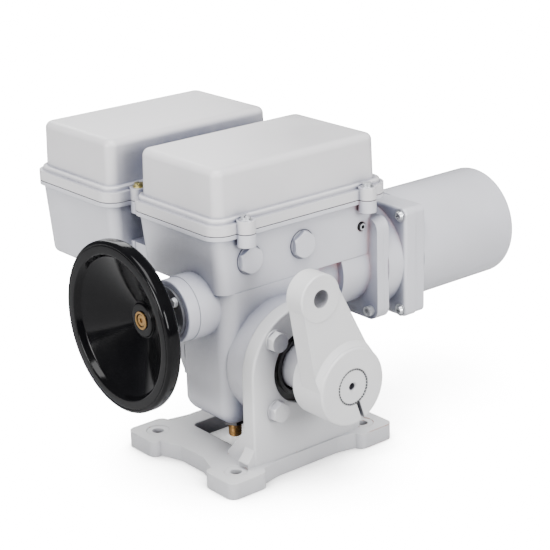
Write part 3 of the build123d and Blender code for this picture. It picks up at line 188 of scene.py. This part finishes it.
def machining_group():
    """Fine tool rings about an axis, with their spacing broken a little by noise."""
    tree, n, given, result = new_group("machining", {"Vector": VECTOR, "Fineness": FLOAT},
                                       {"Height": FLOAT, "Smudge": FLOAT})
    radius = n.vector("LENGTH", given["Vector"], out="Value")
    waver = n.noise(given["Vector"], 60.0, 2.0)
    phase = n.math("MULTIPLY_ADD", radius, given["Fineness"], n.math("MULTIPLY", waver, 3.0))
    n.put(result["Height"], n.math("SINE", phase))
    n.put(result["Smudge"], n.noise(given["Vector"], 45.0, 4.0, 0.6))
    return tree


EDGE_HIGHLIGHT_AND_WEAR = edge_highlight_and_wear_group()
CREVICE = crevice_group()
RECESS_SHADE = recess_shade_group()
CAST_SKIN = cast_skin_group()
CHIPS = chips_group()
MACHINING = machining_group()


# ------------------------------------------------------------------- finishes


def new_material(name):
    material = bpy.data.materials.new(name)
    material.use_nodes = True
    material.node_tree.nodes.clear()
    return material, Nodes(material.node_tree)


def shade(n, colour, roughness, normal=None, metallic=0.0, **constants):
    """The material's Principled shader, with what varies joined and what doesn't set on its sockets."""
    principled = n.add("BsdfPrincipled", {"Base Color": colour, "Roughness": roughness,
                                          "Normal": normal, "Metallic": metallic}, out=None)
    for name, value in constants.items():
        n.put(principled.inputs[name.replace("_", " ")], value)
    n.add("OutputMaterial", {"Surface": principled.outputs[0]}, out=None)


def enamel(name, colour, shadow_tint, grain=0.5, peel=0.25, edge_light=0.25, chip_amount=0.0,
           primer=(0.30, 0.12, 0.06), roughness=0.34, blush=None, knock=None, rounding=1.3):
    """Semi-gloss enamel on a casting: skin, tone drift, painted shade in recesses, crevices darkened as
    dust and painted shade, pale edges as painted highlight and rubbed paint, deep gaps painted
    near-black as shade and grime, chips.
    """
    material, n = new_material(name)
    place = n.object_place()
    edge = n.group(EDGE_HIGHLIGHT_AND_WEAR, {"Radius": rounding * MM})
    gap = n.group(CREVICE, {"Vector": place, "Distance": 14 * MM})
    crevice = gap["Crevice"]
    recess_shade = n.group(RECESS_SHADE, {"Vector": place, "Distance": 95 * MM})["Recess"]
    skin = n.group(CAST_SKIN, {"Vector": place, "Grain": grain, "Peel": peel})
    amount = chip_amount
    if knock:
        centre, reach, extra = knock
        off = n.vector("DISTANCE", place, centre, out="Value")
        amount = n.ramp(off, reach, reach * 0.3, chip_amount, chip_amount + extra)
    chip = n.group(CHIPS, {"Vector": place, "Edge": edge["Edge"], "Amount": amount})
    tone = n.ramp(skin["Tone"], 0.3, 0.7, 0.955, 1.03)
    drift = n.mix(1.0, colour, n.add("CombineColor", {0: tone, 1: tone, 2: tone}), "MULTIPLY")
    # Painted shade: recesses take the shadow tint, darker the more shut in they are.
    recess_shaded = n.mix(n.math("MULTIPLY", recess_shade, 0.86), drift, shadow_tint)
    # Crevices darkened toward the shadow tint: dust, and painted shade in the inner corners.
    dust_and_shade = n.mix(n.math("MULTIPLY", crevice, 0.70), recess_shaded, tuple(c * 0.8 for c in shadow_tint))
    if blush:
        centre, reach, tint = blush
        away = n.vector("DISTANCE", place, centre, out="Value")
        near = n.math("MULTIPLY", n.ramp(away, reach, reach * 0.45), crevice)
        dust_and_shade = n.mix(n.math("MULTIPLY", near, 0.95), dust_and_shade, tint)
    pale = tuple(min(1.0, c * 1.22) for c in colour)
    # Pale edges: a painted highlight along the edges, also standing for rubbed paint.
    rubbed_and_highlit = n.mix(n.math("MULTIPLY", edge["Edge"], edge_light), dust_and_shade, pale)
    # Deep gaps painted near-black: painted shade in narrow gaps and joints, with grime.
    grime_and_shade = n.mix(n.math("MULTIPLY", gap["Deep"], 0.9), rubbed_and_highlit, (0.035, 0.035, 0.042))
    bare = n.mix(chip["Chip"], n.mix(n.math("MULTIPLY", chip["Rim"], 0.35), grime_and_shade, pale), primer)
    gloss = n.math("MULTIPLY_ADD", crevice, 0.25, n.ramp(skin["Tone"], 0.3, 0.7, roughness - 0.04,
                                                         roughness + 0.07))
    height = n.math("SUBTRACT", skin["Height"], n.math("MULTIPLY", chip["Chip"], 2.0))
    bumped = n.add("Bump", {"Strength": 0.35, "Distance": 0.12 * MM, "Height": height,
                            "Normal": edge["Normal"]})
    shade(n, bare, n.math("MULTIPLY_ADD", chip["Chip"], 0.4, gloss), bumped, Coat_Weight=0.12,
          Coat_Roughness=0.2)
    return material


def bare_metal(name, colour, roughness, centre, fineness=5200.0, stain=(0.20, 0.17, 0.14),
               stained=0.35, ring_height=0.006, second=None):
    """Turned or plated metal: tool rings about a centre, smudges, tarnish in corners, bright edges."""
    material, n = new_material(name)
    place = n.object_place()
    centred = n.add("Mapping", {"Vector": place, "Location": tuple(-c for c in centre)})
    rings = n.group(MACHINING, {"Vector": centred, "Fineness": fineness})
    edge = n.group(EDGE_HIGHLIGHT_AND_WEAR, {"Radius": 0.5 * MM})
    crevice = n.group(CREVICE, {"Vector": place, "Distance": 5 * MM})["Crevice"]
    base = colour if second is None else n.mix(n.ramp(rings["Smudge"], 0.38, 0.62), colour, second)
    smudged = n.mix(n.ramp(rings["Smudge"], 0.35, 0.75, 0.0, stained), base, stain)
    dirty = n.mix(n.math("MULTIPLY", crevice, 0.7), smudged, tuple(c * 0.4 for c in stain))
    pale = tuple(min(1.0, c * 1.25) for c in colour)
    bright = n.mix(n.math("MULTIPLY", edge["Edge"], 0.45), dirty, pale)
    rough = n.ramp(rings["Smudge"], 0.3, 0.7, roughness - 0.06, roughness + 0.12)
    bumped = n.add("Bump", {"Strength": 0.3, "Distance": ring_height * MM, "Height": rings["Height"],
                            "Normal": edge["Normal"]})
    shade(n, bright, rough, bumped, metallic=1.0)
    return material


def ringed_screw(name, centre, head):
    """Plated screw head inside a dark ring: dark beyond a distance from the screw's axis, and painted
    dark at its centre as shade in the head's hollow.
    """
    material, n = new_material(name)
    place = n.object_place()
    flat = n.vector("MULTIPLY", n.vector("SUBTRACT", place, centre), (1.0, 0.0, 1.0))
    away = n.vector("LENGTH", flat, out="Value")
    smudge = n.noise(place, 400.0, 3.0, 0.6)
    bright = n.mix(n.ramp(smudge, 0.35, 0.7, 0.0, 0.4), (0.66, 0.67, 0.69), (0.42, 0.43, 0.45))
    ringed = n.mix(n.ramp(away, head, head + 0.5 * MM), bright, (0.012, 0.012, 0.014))
    # Painted shade: near-black within 2.2 to 2.6 mm of the axis, standing for the head's hollow.
    shaded_hollow = n.mix(n.ramp(away, 2.6 * MM, 2.2 * MM), ringed, (0.02, 0.02, 0.022))
    edge = n.group(EDGE_HIGHLIGHT_AND_WEAR, {"Radius": 0.4 * MM})
    shade(n, shaded_hollow, n.ramp(smudge, 0.3, 0.7, 0.28, 0.45), edge["Normal"], metallic=0.7)
    return material


def moulded(name, colour, roughness, grain_scale=900.0, fleck=None, specular=0.5, dust=0.3,
            bump_depth=0.02, edge_radius=0.6, cloud=0.25):
    """Moulded plastic or rubber: fine texture, uneven gloss, dust in corners and paler flecks."""
    material, n = new_material(name)
    place = n.object_place()
    edge = n.group(EDGE_HIGHLIGHT_AND_WEAR, {"Radius": edge_radius * MM})
    crevice = n.group(CREVICE, {"Vector": place, "Distance": 6 * MM})["Crevice"]
    clouds = n.noise(place, 26.0, 4.0, 0.6)
    specks = n.ramp(n.noise(place, 1500.0, 2.0, 0.7), 0.72, 0.80)
    pale = tuple(c + (0.35 - c) * 0.25 for c in colour)
    tinted = n.mix(n.ramp(clouds, 0.35, 0.75, 0.0, cloud), colour, fleck or pale)
    dust_and_shade = n.mix(n.math("MULTIPLY", crevice, dust), tinted, (0.16, 0.155, 0.145))
    speckled = n.mix(n.math("MULTIPLY", specks, dust * 0.4), dust_and_shade, (0.4, 0.39, 0.37))
    rough = n.ramp(clouds, 0.3, 0.7, roughness * 0.85, roughness * 1.25)
    bumped = n.add("Bump", {"Strength": 0.3, "Distance": bump_depth * MM, "Normal": edge["Normal"],
                            "Height": n.noise(place, grain_scale, 2.0)})
    shade(n, speckled, n.math("MULTIPLY_ADD", specks, 0.2, rough), bumped, Specular_IOR_Level=specular)
    return material


def wound_copper(name):
    """Varnished winding: parallel turns as a wave along the motor's axis, in two browns."""
    material, n = new_material(name)
    place = n.object_place()
    turns = n.add("TexWave", {"Vector": place, "Scale": 420.0, "Distortion": 1.5, "Detail": 1.0}, "Fac",
                  bands_direction="Y")
    colour = n.mix(turns, (0.20, 0.06, 0.02), (0.62, 0.27, 0.11))
    bumped = n.add("Bump", {"Strength": 0.8, "Distance": 0.3 * MM, "Height": turns})
    shade(n, colour, n.ramp(n.noise(place, 60.0), 0.3, 0.7, 0.25, 0.45), bumped, metallic=0.6,
          Coat_Weight=0.4, Coat_Roughness=0.15)
    return material


def laminations(name):
    """Edge of stacked sheet steel: thin dark lines across the motor's axis, with a varnish stain."""
    material, n = new_material(name)
    place = n.object_place()
    lines = n.add("TexWave", {"Vector": place, "Scale": 620.0}, "Fac", bands_direction="X")
    stain = n.noise(place, 35.0, 4.0, 0.6)
    steel = n.mix(n.ramp(lines, 0.1, 0.5), (0.06, 0.06, 0.065), (0.34, 0.34, 0.36))
    colour = n.mix(n.ramp(stain, 0.45, 0.7, 0.0, 0.5), steel, (0.16, 0.10, 0.06))
    bumped = n.add("Bump", {"Strength": 0.5, "Distance": 0.08 * MM, "Height": lines})
    shade(n, colour, n.ramp(stain, 0.3, 0.7, 0.35, 0.55), bumped, metallic=0.8)
    return material


def printed_board(name):
    """Solder resist with etched tracks: two crossed waves cut to lines, copper pads showing paler."""
    material, n = new_material(name)
    place = n.object_place()
    across = n.add("TexWave", {"Vector": place, "Scale": 90.0, "Distortion": 2.2}, "Fac",
                   bands_direction="X")
    along = n.add("TexWave", {"Vector": place, "Scale": 70.0, "Distortion": 3.0}, "Fac",
                  bands_direction="Y")
    tracks = n.math("MAXIMUM", n.ramp(across, 0.80, 0.84), n.ramp(along, 0.82, 0.86))
    cloud = n.noise(place, 30.0, 3.0)
    resist = n.mix(n.ramp(cloud, 0.3, 0.7, 0.0, 0.3), (0.012, 0.10, 0.04), (0.02, 0.15, 0.06))
    colour = n.mix(tracks, resist, (0.05, 0.26, 0.11))
    bumped = n.add("Bump", {"Strength": 0.5, "Distance": 0.05 * MM, "Height": tracks})
    shade(n, colour, n.ramp(cloud, 0.3, 0.7, 0.28, 0.42), bumped, Coat_Weight=0.3, Coat_Roughness=0.12)
    return material


def node_centre(node):
    low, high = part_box(node)
    return tuple((low + high) / 2)


CASE_GREY = (0.545, 0.545, 0.580)
COVER_GREY = (0.600, 0.588, 0.598)
SHADOW_GREY = (0.130, 0.140, 0.205)
PINK_PRIMER = (0.50, 0.27, 0.27)
tube_root = (0.128, -0.010, 0.236)

finishes = {
    "case_paint": enamel("case_enamel", CASE_GREY, SHADOW_GREY, grain=0.55, chip_amount=0.10,
                         blush=(tube_root, 0.100, PINK_PRIMER)),
    "cover_paint": enamel("cover_enamel", COVER_GREY, SHADOW_GREY, grain=0.30, peel=0.30,
                          edge_light=0.30, chip_amount=0.06, roughness=0.32),
    "foot_paint": enamel("foot_enamel", (0.565, 0.565, 0.568), (0.34, 0.34, 0.365), grain=0.75,
                         edge_light=0.35, chip_amount=0.20, roughness=0.38, rounding=2.2,
                         knock=((0.118, -0.104, 0.002), 0.055, 0.30)),
    "lever_paint": enamel("lever_enamel", (0.60, 0.598, 0.600), (0.20, 0.20, 0.235), grain=0.60,
                          edge_light=0.3, chip_amount=0.12, roughness=0.36),
    "dark_paint": enamel("dark_enamel", (0.055, 0.060, 0.072), (0.03, 0.03, 0.035), grain=0.4,
                         edge_light=0.5, chip_amount=0.15, primer=(0.25, 0.25, 0.26), roughness=0.35),
    "handwheel_black": moulded("polished_black", (0.0022, 0.0022, 0.0026), 0.09, 300.0, specular=0.14,
                               dust=0.02, bump_depth=0.003, edge_radius=0.9, cloud=0.02),
    "brass": bare_metal("turned_brass", (0.42, 0.255, 0.10), 0.34, node_centre("handwheel_bush"),
                        stain=(0.30, 0.17, 0.07)),
    "bronze": bare_metal("cut_bronze", (0.58, 0.38, 0.19), 0.34, node_centre("worm_wheel"),
                         stain=(0.24, 0.13, 0.06)),
    "shaft_steel": bare_metal("ground_steel", (0.56, 0.56, 0.565), 0.30, node_centre("output_shaft"),
                              fineness=7000.0),
    "zinc_plate": bare_metal("zinc_plate", (0.66, 0.67, 0.69), 0.34, node_centre("gear_case"),
                             fineness=2600.0, stain=(0.42, 0.43, 0.45), ring_height=0.002),
    "yellow_zinc": bare_metal("yellow_zinc", (0.62, 0.52, 0.17), 0.30, node_centre("rear_cover"),
                              fineness=2600.0, stain=(0.42, 0.40, 0.16), ring_height=0.002,
                              second=(0.56, 0.48, 0.22)),
    "dark_steel": bare_metal("blackened_steel", (0.10, 0.10, 0.105), 0.42, node_centre("earth_screw"),
                             stain=(0.06, 0.05, 0.045)),
    "bearing_steel": bare_metal("bearing_steel", (0.62, 0.62, 0.635), 0.18,
                                node_centre("output_bearing_front"), fineness=9000.0, stained=0.15),
    "rubber": moulded("nitrile_rubber", (0.008, 0.008, 0.009), 0.55, 700.0, dust=0.25),
    "laminated_steel": laminations("laminations"),
    "copper_winding": wound_copper("wound_copper"),
    "board_green": printed_board("printed_board"),
    "terminal_plastic": moulded("terminal_polyamide", (0.24, 0.30, 0.33), 0.42, 600.0),
    "relay_plastic": moulded("relay_polyamide", (0.05, 0.07, 0.12), 0.32, 800.0),
    "capacitor_aluminium": bare_metal("drawn_aluminium", (0.66, 0.66, 0.67), 0.26,
                                      node_centre("capacitor"), stain=(0.45, 0.45, 0.46)),
}

slot_of = {part["node"]: part["material_slot"] for part in frame["record"]["subparts"]}


earth_finish = ringed_screw("ringed_screw", node_centre("earth_screw"), 4.0 * MM)


def paint_frame_nodes():
    """Gives each carried-over node the finish of its slot in the record, the earth screw its own."""
    for name, thing in frame["nodes"].items():
        finish = earth_finish if name == "earth_screw" else finishes[slot_of[name]]
        if not thing.material_slots:
            thing.data.materials.append(finish)
        for material_slot in thing.material_slots:
            material_slot.material = finish


paint_frame_nodes()


# --------------------------------------------------------------- new surfaces


def grid_faces(rows, columns):
    """Quads joining a grid's neighbours, where the last row and last column meet the first."""
    row = np.arange(rows)[:, None]
    column = np.arange(columns)[None, :]
    next_row = (row + 1) % rows
    next_column = (column + 1) % columns
    corners = (row * columns + column, next_row * columns + column,
               next_row * columns + next_column, row * columns + next_column)
    return np.stack(corners, axis=-1).reshape(-1, 4)


def make_piece(name, points, faces, body, finish, node, sharp_degrees=32.0, caps=None):
    """A mesh from whole arrays, smooth apart from edges sharper than an angle, riding on a body."""
    mesh = bpy.data.meshes.new(name)
    mesh.vertices.add(len(points))
    mesh.vertices.foreach_set("co", np.asarray(points, np.float32).ravel())
    kinds = [faces] if caps is None else [faces, caps]
    corners = np.concatenate([kind.ravel() for kind in kinds])
    sizes = np.concatenate([np.full(len(kind), kind.shape[1]) for kind in kinds])
    mesh.loops.add(len(corners))
    mesh.loops.foreach_set("vertex_index", corners.astype(np.int32))
    mesh.polygons.add(len(sizes))
    starts = np.concatenate([[0], np.cumsum(sizes)[:-1]])
    mesh.polygons.foreach_set("loop_start", starts.astype(np.int32))
    mesh.update(calc_edges=True)
    mesh.validate()
    mesh.polygons.foreach_set("use_smooth", np.ones(len(mesh.polygons), bool))
    mesh.set_sharp_from_angle(angle=math.radians(sharp_degrees))
    mesh.materials.append(finishes[finish])
    piece = bpy.data.objects.new(name, mesh)
    bpy.context.scene.collection.objects.link(piece)
    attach(piece, body)
    if node:
        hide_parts(node)
    return piece


def rounded_section(corners, steps=6):
    """Closed outline whose corners (along, out, radius) are replaced by arcs tangent to both sides:
    each arc is centre + radius * (cos, sin) as its angle runs from one side's touch to the other's."""
    outline = []
    count = len(corners)
    for index, (along, out, radius) in enumerate(corners):
        corner = np.array([along, out], float)
        if radius <= 0:
            outline.append(corner[None, :])
            continue
        before = np.array(corners[index - 1][:2], float) - corner
        after = np.array(corners[(index + 1) % count][:2], float) - corner
        before /= np.linalg.norm(before)
        after /= np.linalg.norm(after)
        half = math.acos(float(np.clip(before @ after, -1, 1))) / 2
        centre = corner + (before + after) / np.linalg.norm(before + after) * radius / math.sin(half)
        first = corner + before * radius / math.tan(half) - centre
        last = corner + after * radius / math.tan(half) - centre
        share = np.linspace(0, 1, steps)[:, None]
        spread = math.pi - 2 * half
        bent = (np.sin((1 - share) * spread) * first + np.sin(share * spread) * last) / math.sin(spread)
        outline.append(centre + bent)
    return np.concatenate(outline)


def turned_ring(name, section, axis_place, body, finish, node, steps=192):
    """Turns a closed section about an axis along X: place = (along, out cos t, out sin t)."""
    angle = np.linspace(0, FULL_TURN, steps, endpoint=False)[None, :]
    along = np.repeat(section[:, :1], steps, axis=1)
    out = section[:, 1:]
    points = np.stack([along, axis_place[1] + out * np.cos(angle), axis_place[2] + out * np.sin(angle)],
                      axis=-1)
    outward = grid_faces(len(section), steps)[:, ::-1]
    return make_piece(name, points.reshape(-1, 3), outward, body, finish, node)


def polished_handwheel():
    """Handwheel as one turned form: flat rim with a grooved face, a conical dish, and a stepped hub."""
    low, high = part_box("handwheel")
    front = low.x
    radius = (high.z - low.z) / 2
    rim_inner = radius - 16 * MM
    hub = 19.8 * MM
    hub_face = front + 35 * MM
    bush_low, bush_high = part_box("handwheel_bush")
    bush = (bush_high.y - bush_low.y) / 2
    corners = [
        (hub_face, bush, 0.3 * MM),
        (hub_face, hub, 1.6 * MM),
        (hub_face + 2 * MM, hub + 0.4 * MM, 0.3 * MM),
        (hub_face + 2 * MM, hub + 1.4 * MM, 0.4 * MM),
        (front + 7.4 * MM, rim_inner - 3.2 * MM, 3.0 * MM),
        (front, rim_inner + 0.6 * MM, 2.2 * MM),
        (front, radius - 5.9 * MM, 0.12 * MM),
        (front + 0.7 * MM, radius - 5.6 * MM, 0.15 * MM),
        (front + 0.7 * MM, radius - 4.8 * MM, 0.15 * MM),
        (front + 0.15 * MM, radius - 4.5 * MM, 0.12 * MM),
        (front + 0.15 * MM, radius, 4.2 * MM),
        (front + 18.4 * MM, radius, 5.2 * MM),
        (front + 18.4 * MM, rim_inner - 1 * MM, 3.0 * MM),
        (front + 16.6 * MM, rim_inner - 6 * MM, 2.0 * MM),
        (hub_face + 8 * MM, hub + 6 * MM, 3.5 * MM),
        (high.x, hub + 0.2 * MM, 0.8 * MM),
        (high.x, bush, 0.3 * MM),
    ]
    section = rounded_section(corners, 7)
    turned_ring("handwheel_polished", section, node_centre("handwheel"), "drive", "handwheel_black",
                "handwheel")


def dark_serrations():
    """Short dark bars in the serrations of the shaft end, ringed behind the crank's face.
    Each bar is a block whose corners are (out * cos t, out * sin t) for two radii and two turns."""
    axis = node_centre("output_bearing_front")
    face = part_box("crank_lever")[0].y
    count = 36
    bar_share = 0.60
    inner, outer = 19.7 * MM, 22.7 * MM
    turn = np.arange(count) * FULL_TURN / count
    half = bar_share / 2 * FULL_TURN / count
    side = np.stack([turn - half, turn + half, turn + half, turn - half], axis=1)
    out = np.array([inner, inner, outer, outer])[None, :]
    ring_x = axis[0] + out * np.cos(side)
    ring_z = axis[2] + out * np.sin(side)
    back = np.full_like(ring_x, face + 0.9 * MM)
    front = np.full_like(ring_x, face + 0.03 * MM)
    corners = np.concatenate([np.stack([ring_x, back, ring_z], -1),
                              np.stack([ring_x, front, ring_z], -1)], axis=1)
    block = np.array([[0, 1, 2, 3], [7, 6, 5, 4], [0, 4, 5, 1],
                      [1, 5, 6, 2], [2, 6, 7, 3], [3, 7, 4, 0]])
    faces = (np.arange(count)[:, None, None] * 8 + block[None]).reshape(-1, 4)
    return make_piece("serration_dark_bars", corners.reshape(-1, 3), faces, "output", "rubber", None)


def screw_thread(place, radius, depth, pitch, low, high, steps=40):
    """Rod along Z with a rolled thread: out = radius - depth * (1 - cos(z / pitch - t / turn)) / 2,
    closed by a chamfered ring and a centre point at each end. Its sides and its caps, inside out."""
    rings_per_pitch = 10
    levels = int((high - low) / pitch * rings_per_pitch)
    z = np.linspace(low, high, levels)[:, None]
    angle = np.linspace(0, FULL_TURN, steps, endpoint=False)[None, :]
    wave = 0.5 - 0.5 * np.cos(FULL_TURN * (z / pitch - angle / FULL_TURN))
    ends = np.minimum(1, np.minimum(z - low, high - z) / pitch + 0.25)
    out = (radius - depth * wave) * (0.82 + 0.18 * ends)
    points = np.stack([place[0] + out * np.cos(angle), place[1] + out * np.sin(angle),
                       np.repeat(z, steps, axis=1)], axis=-1)
    centres = np.array([[place[0], place[1], low], [place[0], place[1], high]])
    sides = grid_faces(levels, steps)[:-steps]
    ring = np.arange(steps)
    first = np.stack([ring, np.roll(ring, -1), np.full(steps, levels * steps)], 1)
    top = (levels - 1) * steps
    last = np.stack([top + np.roll(ring, -1), top + ring, np.full(steps, levels * steps + 1)], 1)
    return np.concatenate([points.reshape(-1, 3), centres]), sides, np.concatenate([first, last])


def adjusting_screws():
    """Both stop screws as rolled threads, in the places of the plain rods."""
    low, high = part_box("stop_screws")
    radius = 8 * MM
    middle = (low.y + high.y) / 2
    thread_depth, pitch = 0.9 * MM, 2.0 * MM
    places = {"adjusting_screw_left": low.x + radius, "adjusting_screw_right": high.x - radius}
    for name, x in places.items():
        points, sides, caps = screw_thread((x, middle), radius, thread_depth, pitch, low.z, high.z)
        make_piece(name, points, sides[:, ::-1], "housing", "brass", "stop_screws",
                   caps=caps[:, ::-1])


polished_handwheel()
dark_serrations()
adjusting_screws()


# ------------------------------------------------------------ stage and camera


FLOOR_GLOW = 17.0
LAMP_TARGET = (0.0, 0.02, 0.19)
CAMERA_PLACE = (-1.1475, -1.4443, 0.8684)
CAMERA_TURNS = (-39.19, 19.53, -1.62)


def studio_floor():
    """A large flat disc a hair under the foot: place = (r cos t, r sin t, drop), in widening rings."""
    count, steps = 24, 96
    reach, drop = 14, -0.2 * MM
    rings = (np.linspace(0.02, 1, count) ** 2 * reach)[:, None]
    angle = np.linspace(0, FULL_TURN, steps, endpoint=False)[None, :]
    flat = np.full((count, steps), drop)
    points = np.stack([rings * np.cos(angle), rings * np.sin(angle), flat], axis=-1)
    faces = grid_faces(count, steps)[:-steps]
    mesh = bpy.data.meshes.new("studio_floor")
    middle = [list(range(steps))[::-1]]
    mesh.from_pydata(points.reshape(-1, 3).tolist(), [], faces.tolist() + middle)
    mesh.update()
    material, n = new_material("pale_floor")
    tone = n.ramp(n.noise(n.object_place(), 1.5), 0.3, 0.7, 0.53, 0.56)
    # The camera-only glow is dimmed by occlusion near the object: a painted contact shadow on the
    # floor.
    near = n.add("AmbientOcclusion", {"Distance": 0.20}, "AO", samples=8)
    glow_with_painted_shadow = n.ramp(near, 0.30, 1.0, 0.35, FLOOR_GLOW)
    seen = n.math("MULTIPLY", n.add("LightPath", out="Is Camera Ray"), glow_with_painted_shadow)
    shade(n, n.add("CombineColor", {0: tone, 1: tone, 2: tone}), 0.7, Emission_Color=(1.0, 1.0, 1.0),
          Emission_Strength=seen, Specular_IOR_Level=0.2)
    mesh.materials.append(material)
    floor = bpy.data.objects.new("studio_floor", mesh)
    bpy.context.scene.collection.objects.link(floor)


def aim(place, target):
    """World matrix of a lamp at a place whose face looks at a target."""
    back = np.array(place, float) - np.array(target, float)
    back /= np.linalg.norm(back)
    right = np.cross((0.0, 0.0, 1.0), back)
    right /= np.linalg.norm(right)
    up = np.cross(back, right)
    matrix = np.eye(4)
    matrix[:3, 0], matrix[:3, 1], matrix[:3, 2], matrix[:3, 3] = right, up, back, place
    return Matrix(matrix.tolist())


def softbox(name, place, size, power, tint=(1.0, 1.0, 1.0)):
    lamp = bpy.data.lights.new(name, "AREA")
    lamp.shape = "RECTANGLE"
    lamp.size, lamp.size_y = size
    lamp.energy = power
    lamp.color = tint
    holder = bpy.data.objects.new(name, lamp)
    bpy.context.scene.collection.objects.link(holder)
    holder.matrix_world = aim(place, LAMP_TARGET)


def studio_light():
    softbox("overhead_softbox", (-0.35, -0.40, 2.1), (1.6, 1.6), 92.0)
    softbox("left_softbox", (-2.4, -0.15, 0.75), (1.0, 0.9), 66.0)
    softbox("front_softbox", (0.1, -2.5, 0.95), (1.2, 0.9), 74.0)
    softbox("rear_softbox", (0.9, 2.3, 1.5), (1.6, 1.1), 30.0)
    world = bpy.data.worlds.new("pale_room")
    world.use_nodes = True
    world.node_tree.nodes["Background"].inputs["Color"].default_value = (0.86, 0.90, 1.0, 1.0)
    world.node_tree.nodes["Background"].inputs["Strength"].default_value = 0.16
    bpy.context.scene.world = world


def studio_camera():
    """Camera above and to the left of the crank side, turned about the upright by -39 degrees."""
    azimuth, elevation, roll = (math.radians(angle) for angle in CAMERA_TURNS)
    back = np.array([math.sin(azimuth) * math.cos(elevation), -math.cos(azimuth) * math.cos(elevation),
                     math.sin(elevation)])
    level = np.array([math.cos(azimuth), math.sin(azimuth), 0.0])
    upward = np.cross(back, level)
    right = math.cos(roll) * level + math.sin(roll) * upward
    upright = math.cos(roll) * upward - math.sin(roll) * level
    matrix = np.eye(4)
    matrix[:3, 0], matrix[:3, 1], matrix[:3, 2] = right, upright, back
    matrix[:3, 3] = CAMERA_PLACE
    camera = bpy.data.cameras.new("studio_camera")
    camera.lens = 108.82
    camera.sensor_width = 36.0
    camera.clip_start, camera.clip_end = 0.05, 60.0
    holder = bpy.data.objects.new("studio_camera", camera)
    bpy.context.scene.collection.objects.link(holder)
    holder.matrix_world = Matrix(matrix.tolist())
    bpy.context.scene.camera = holder


studio_floor()
studio_light()
studio_camera()
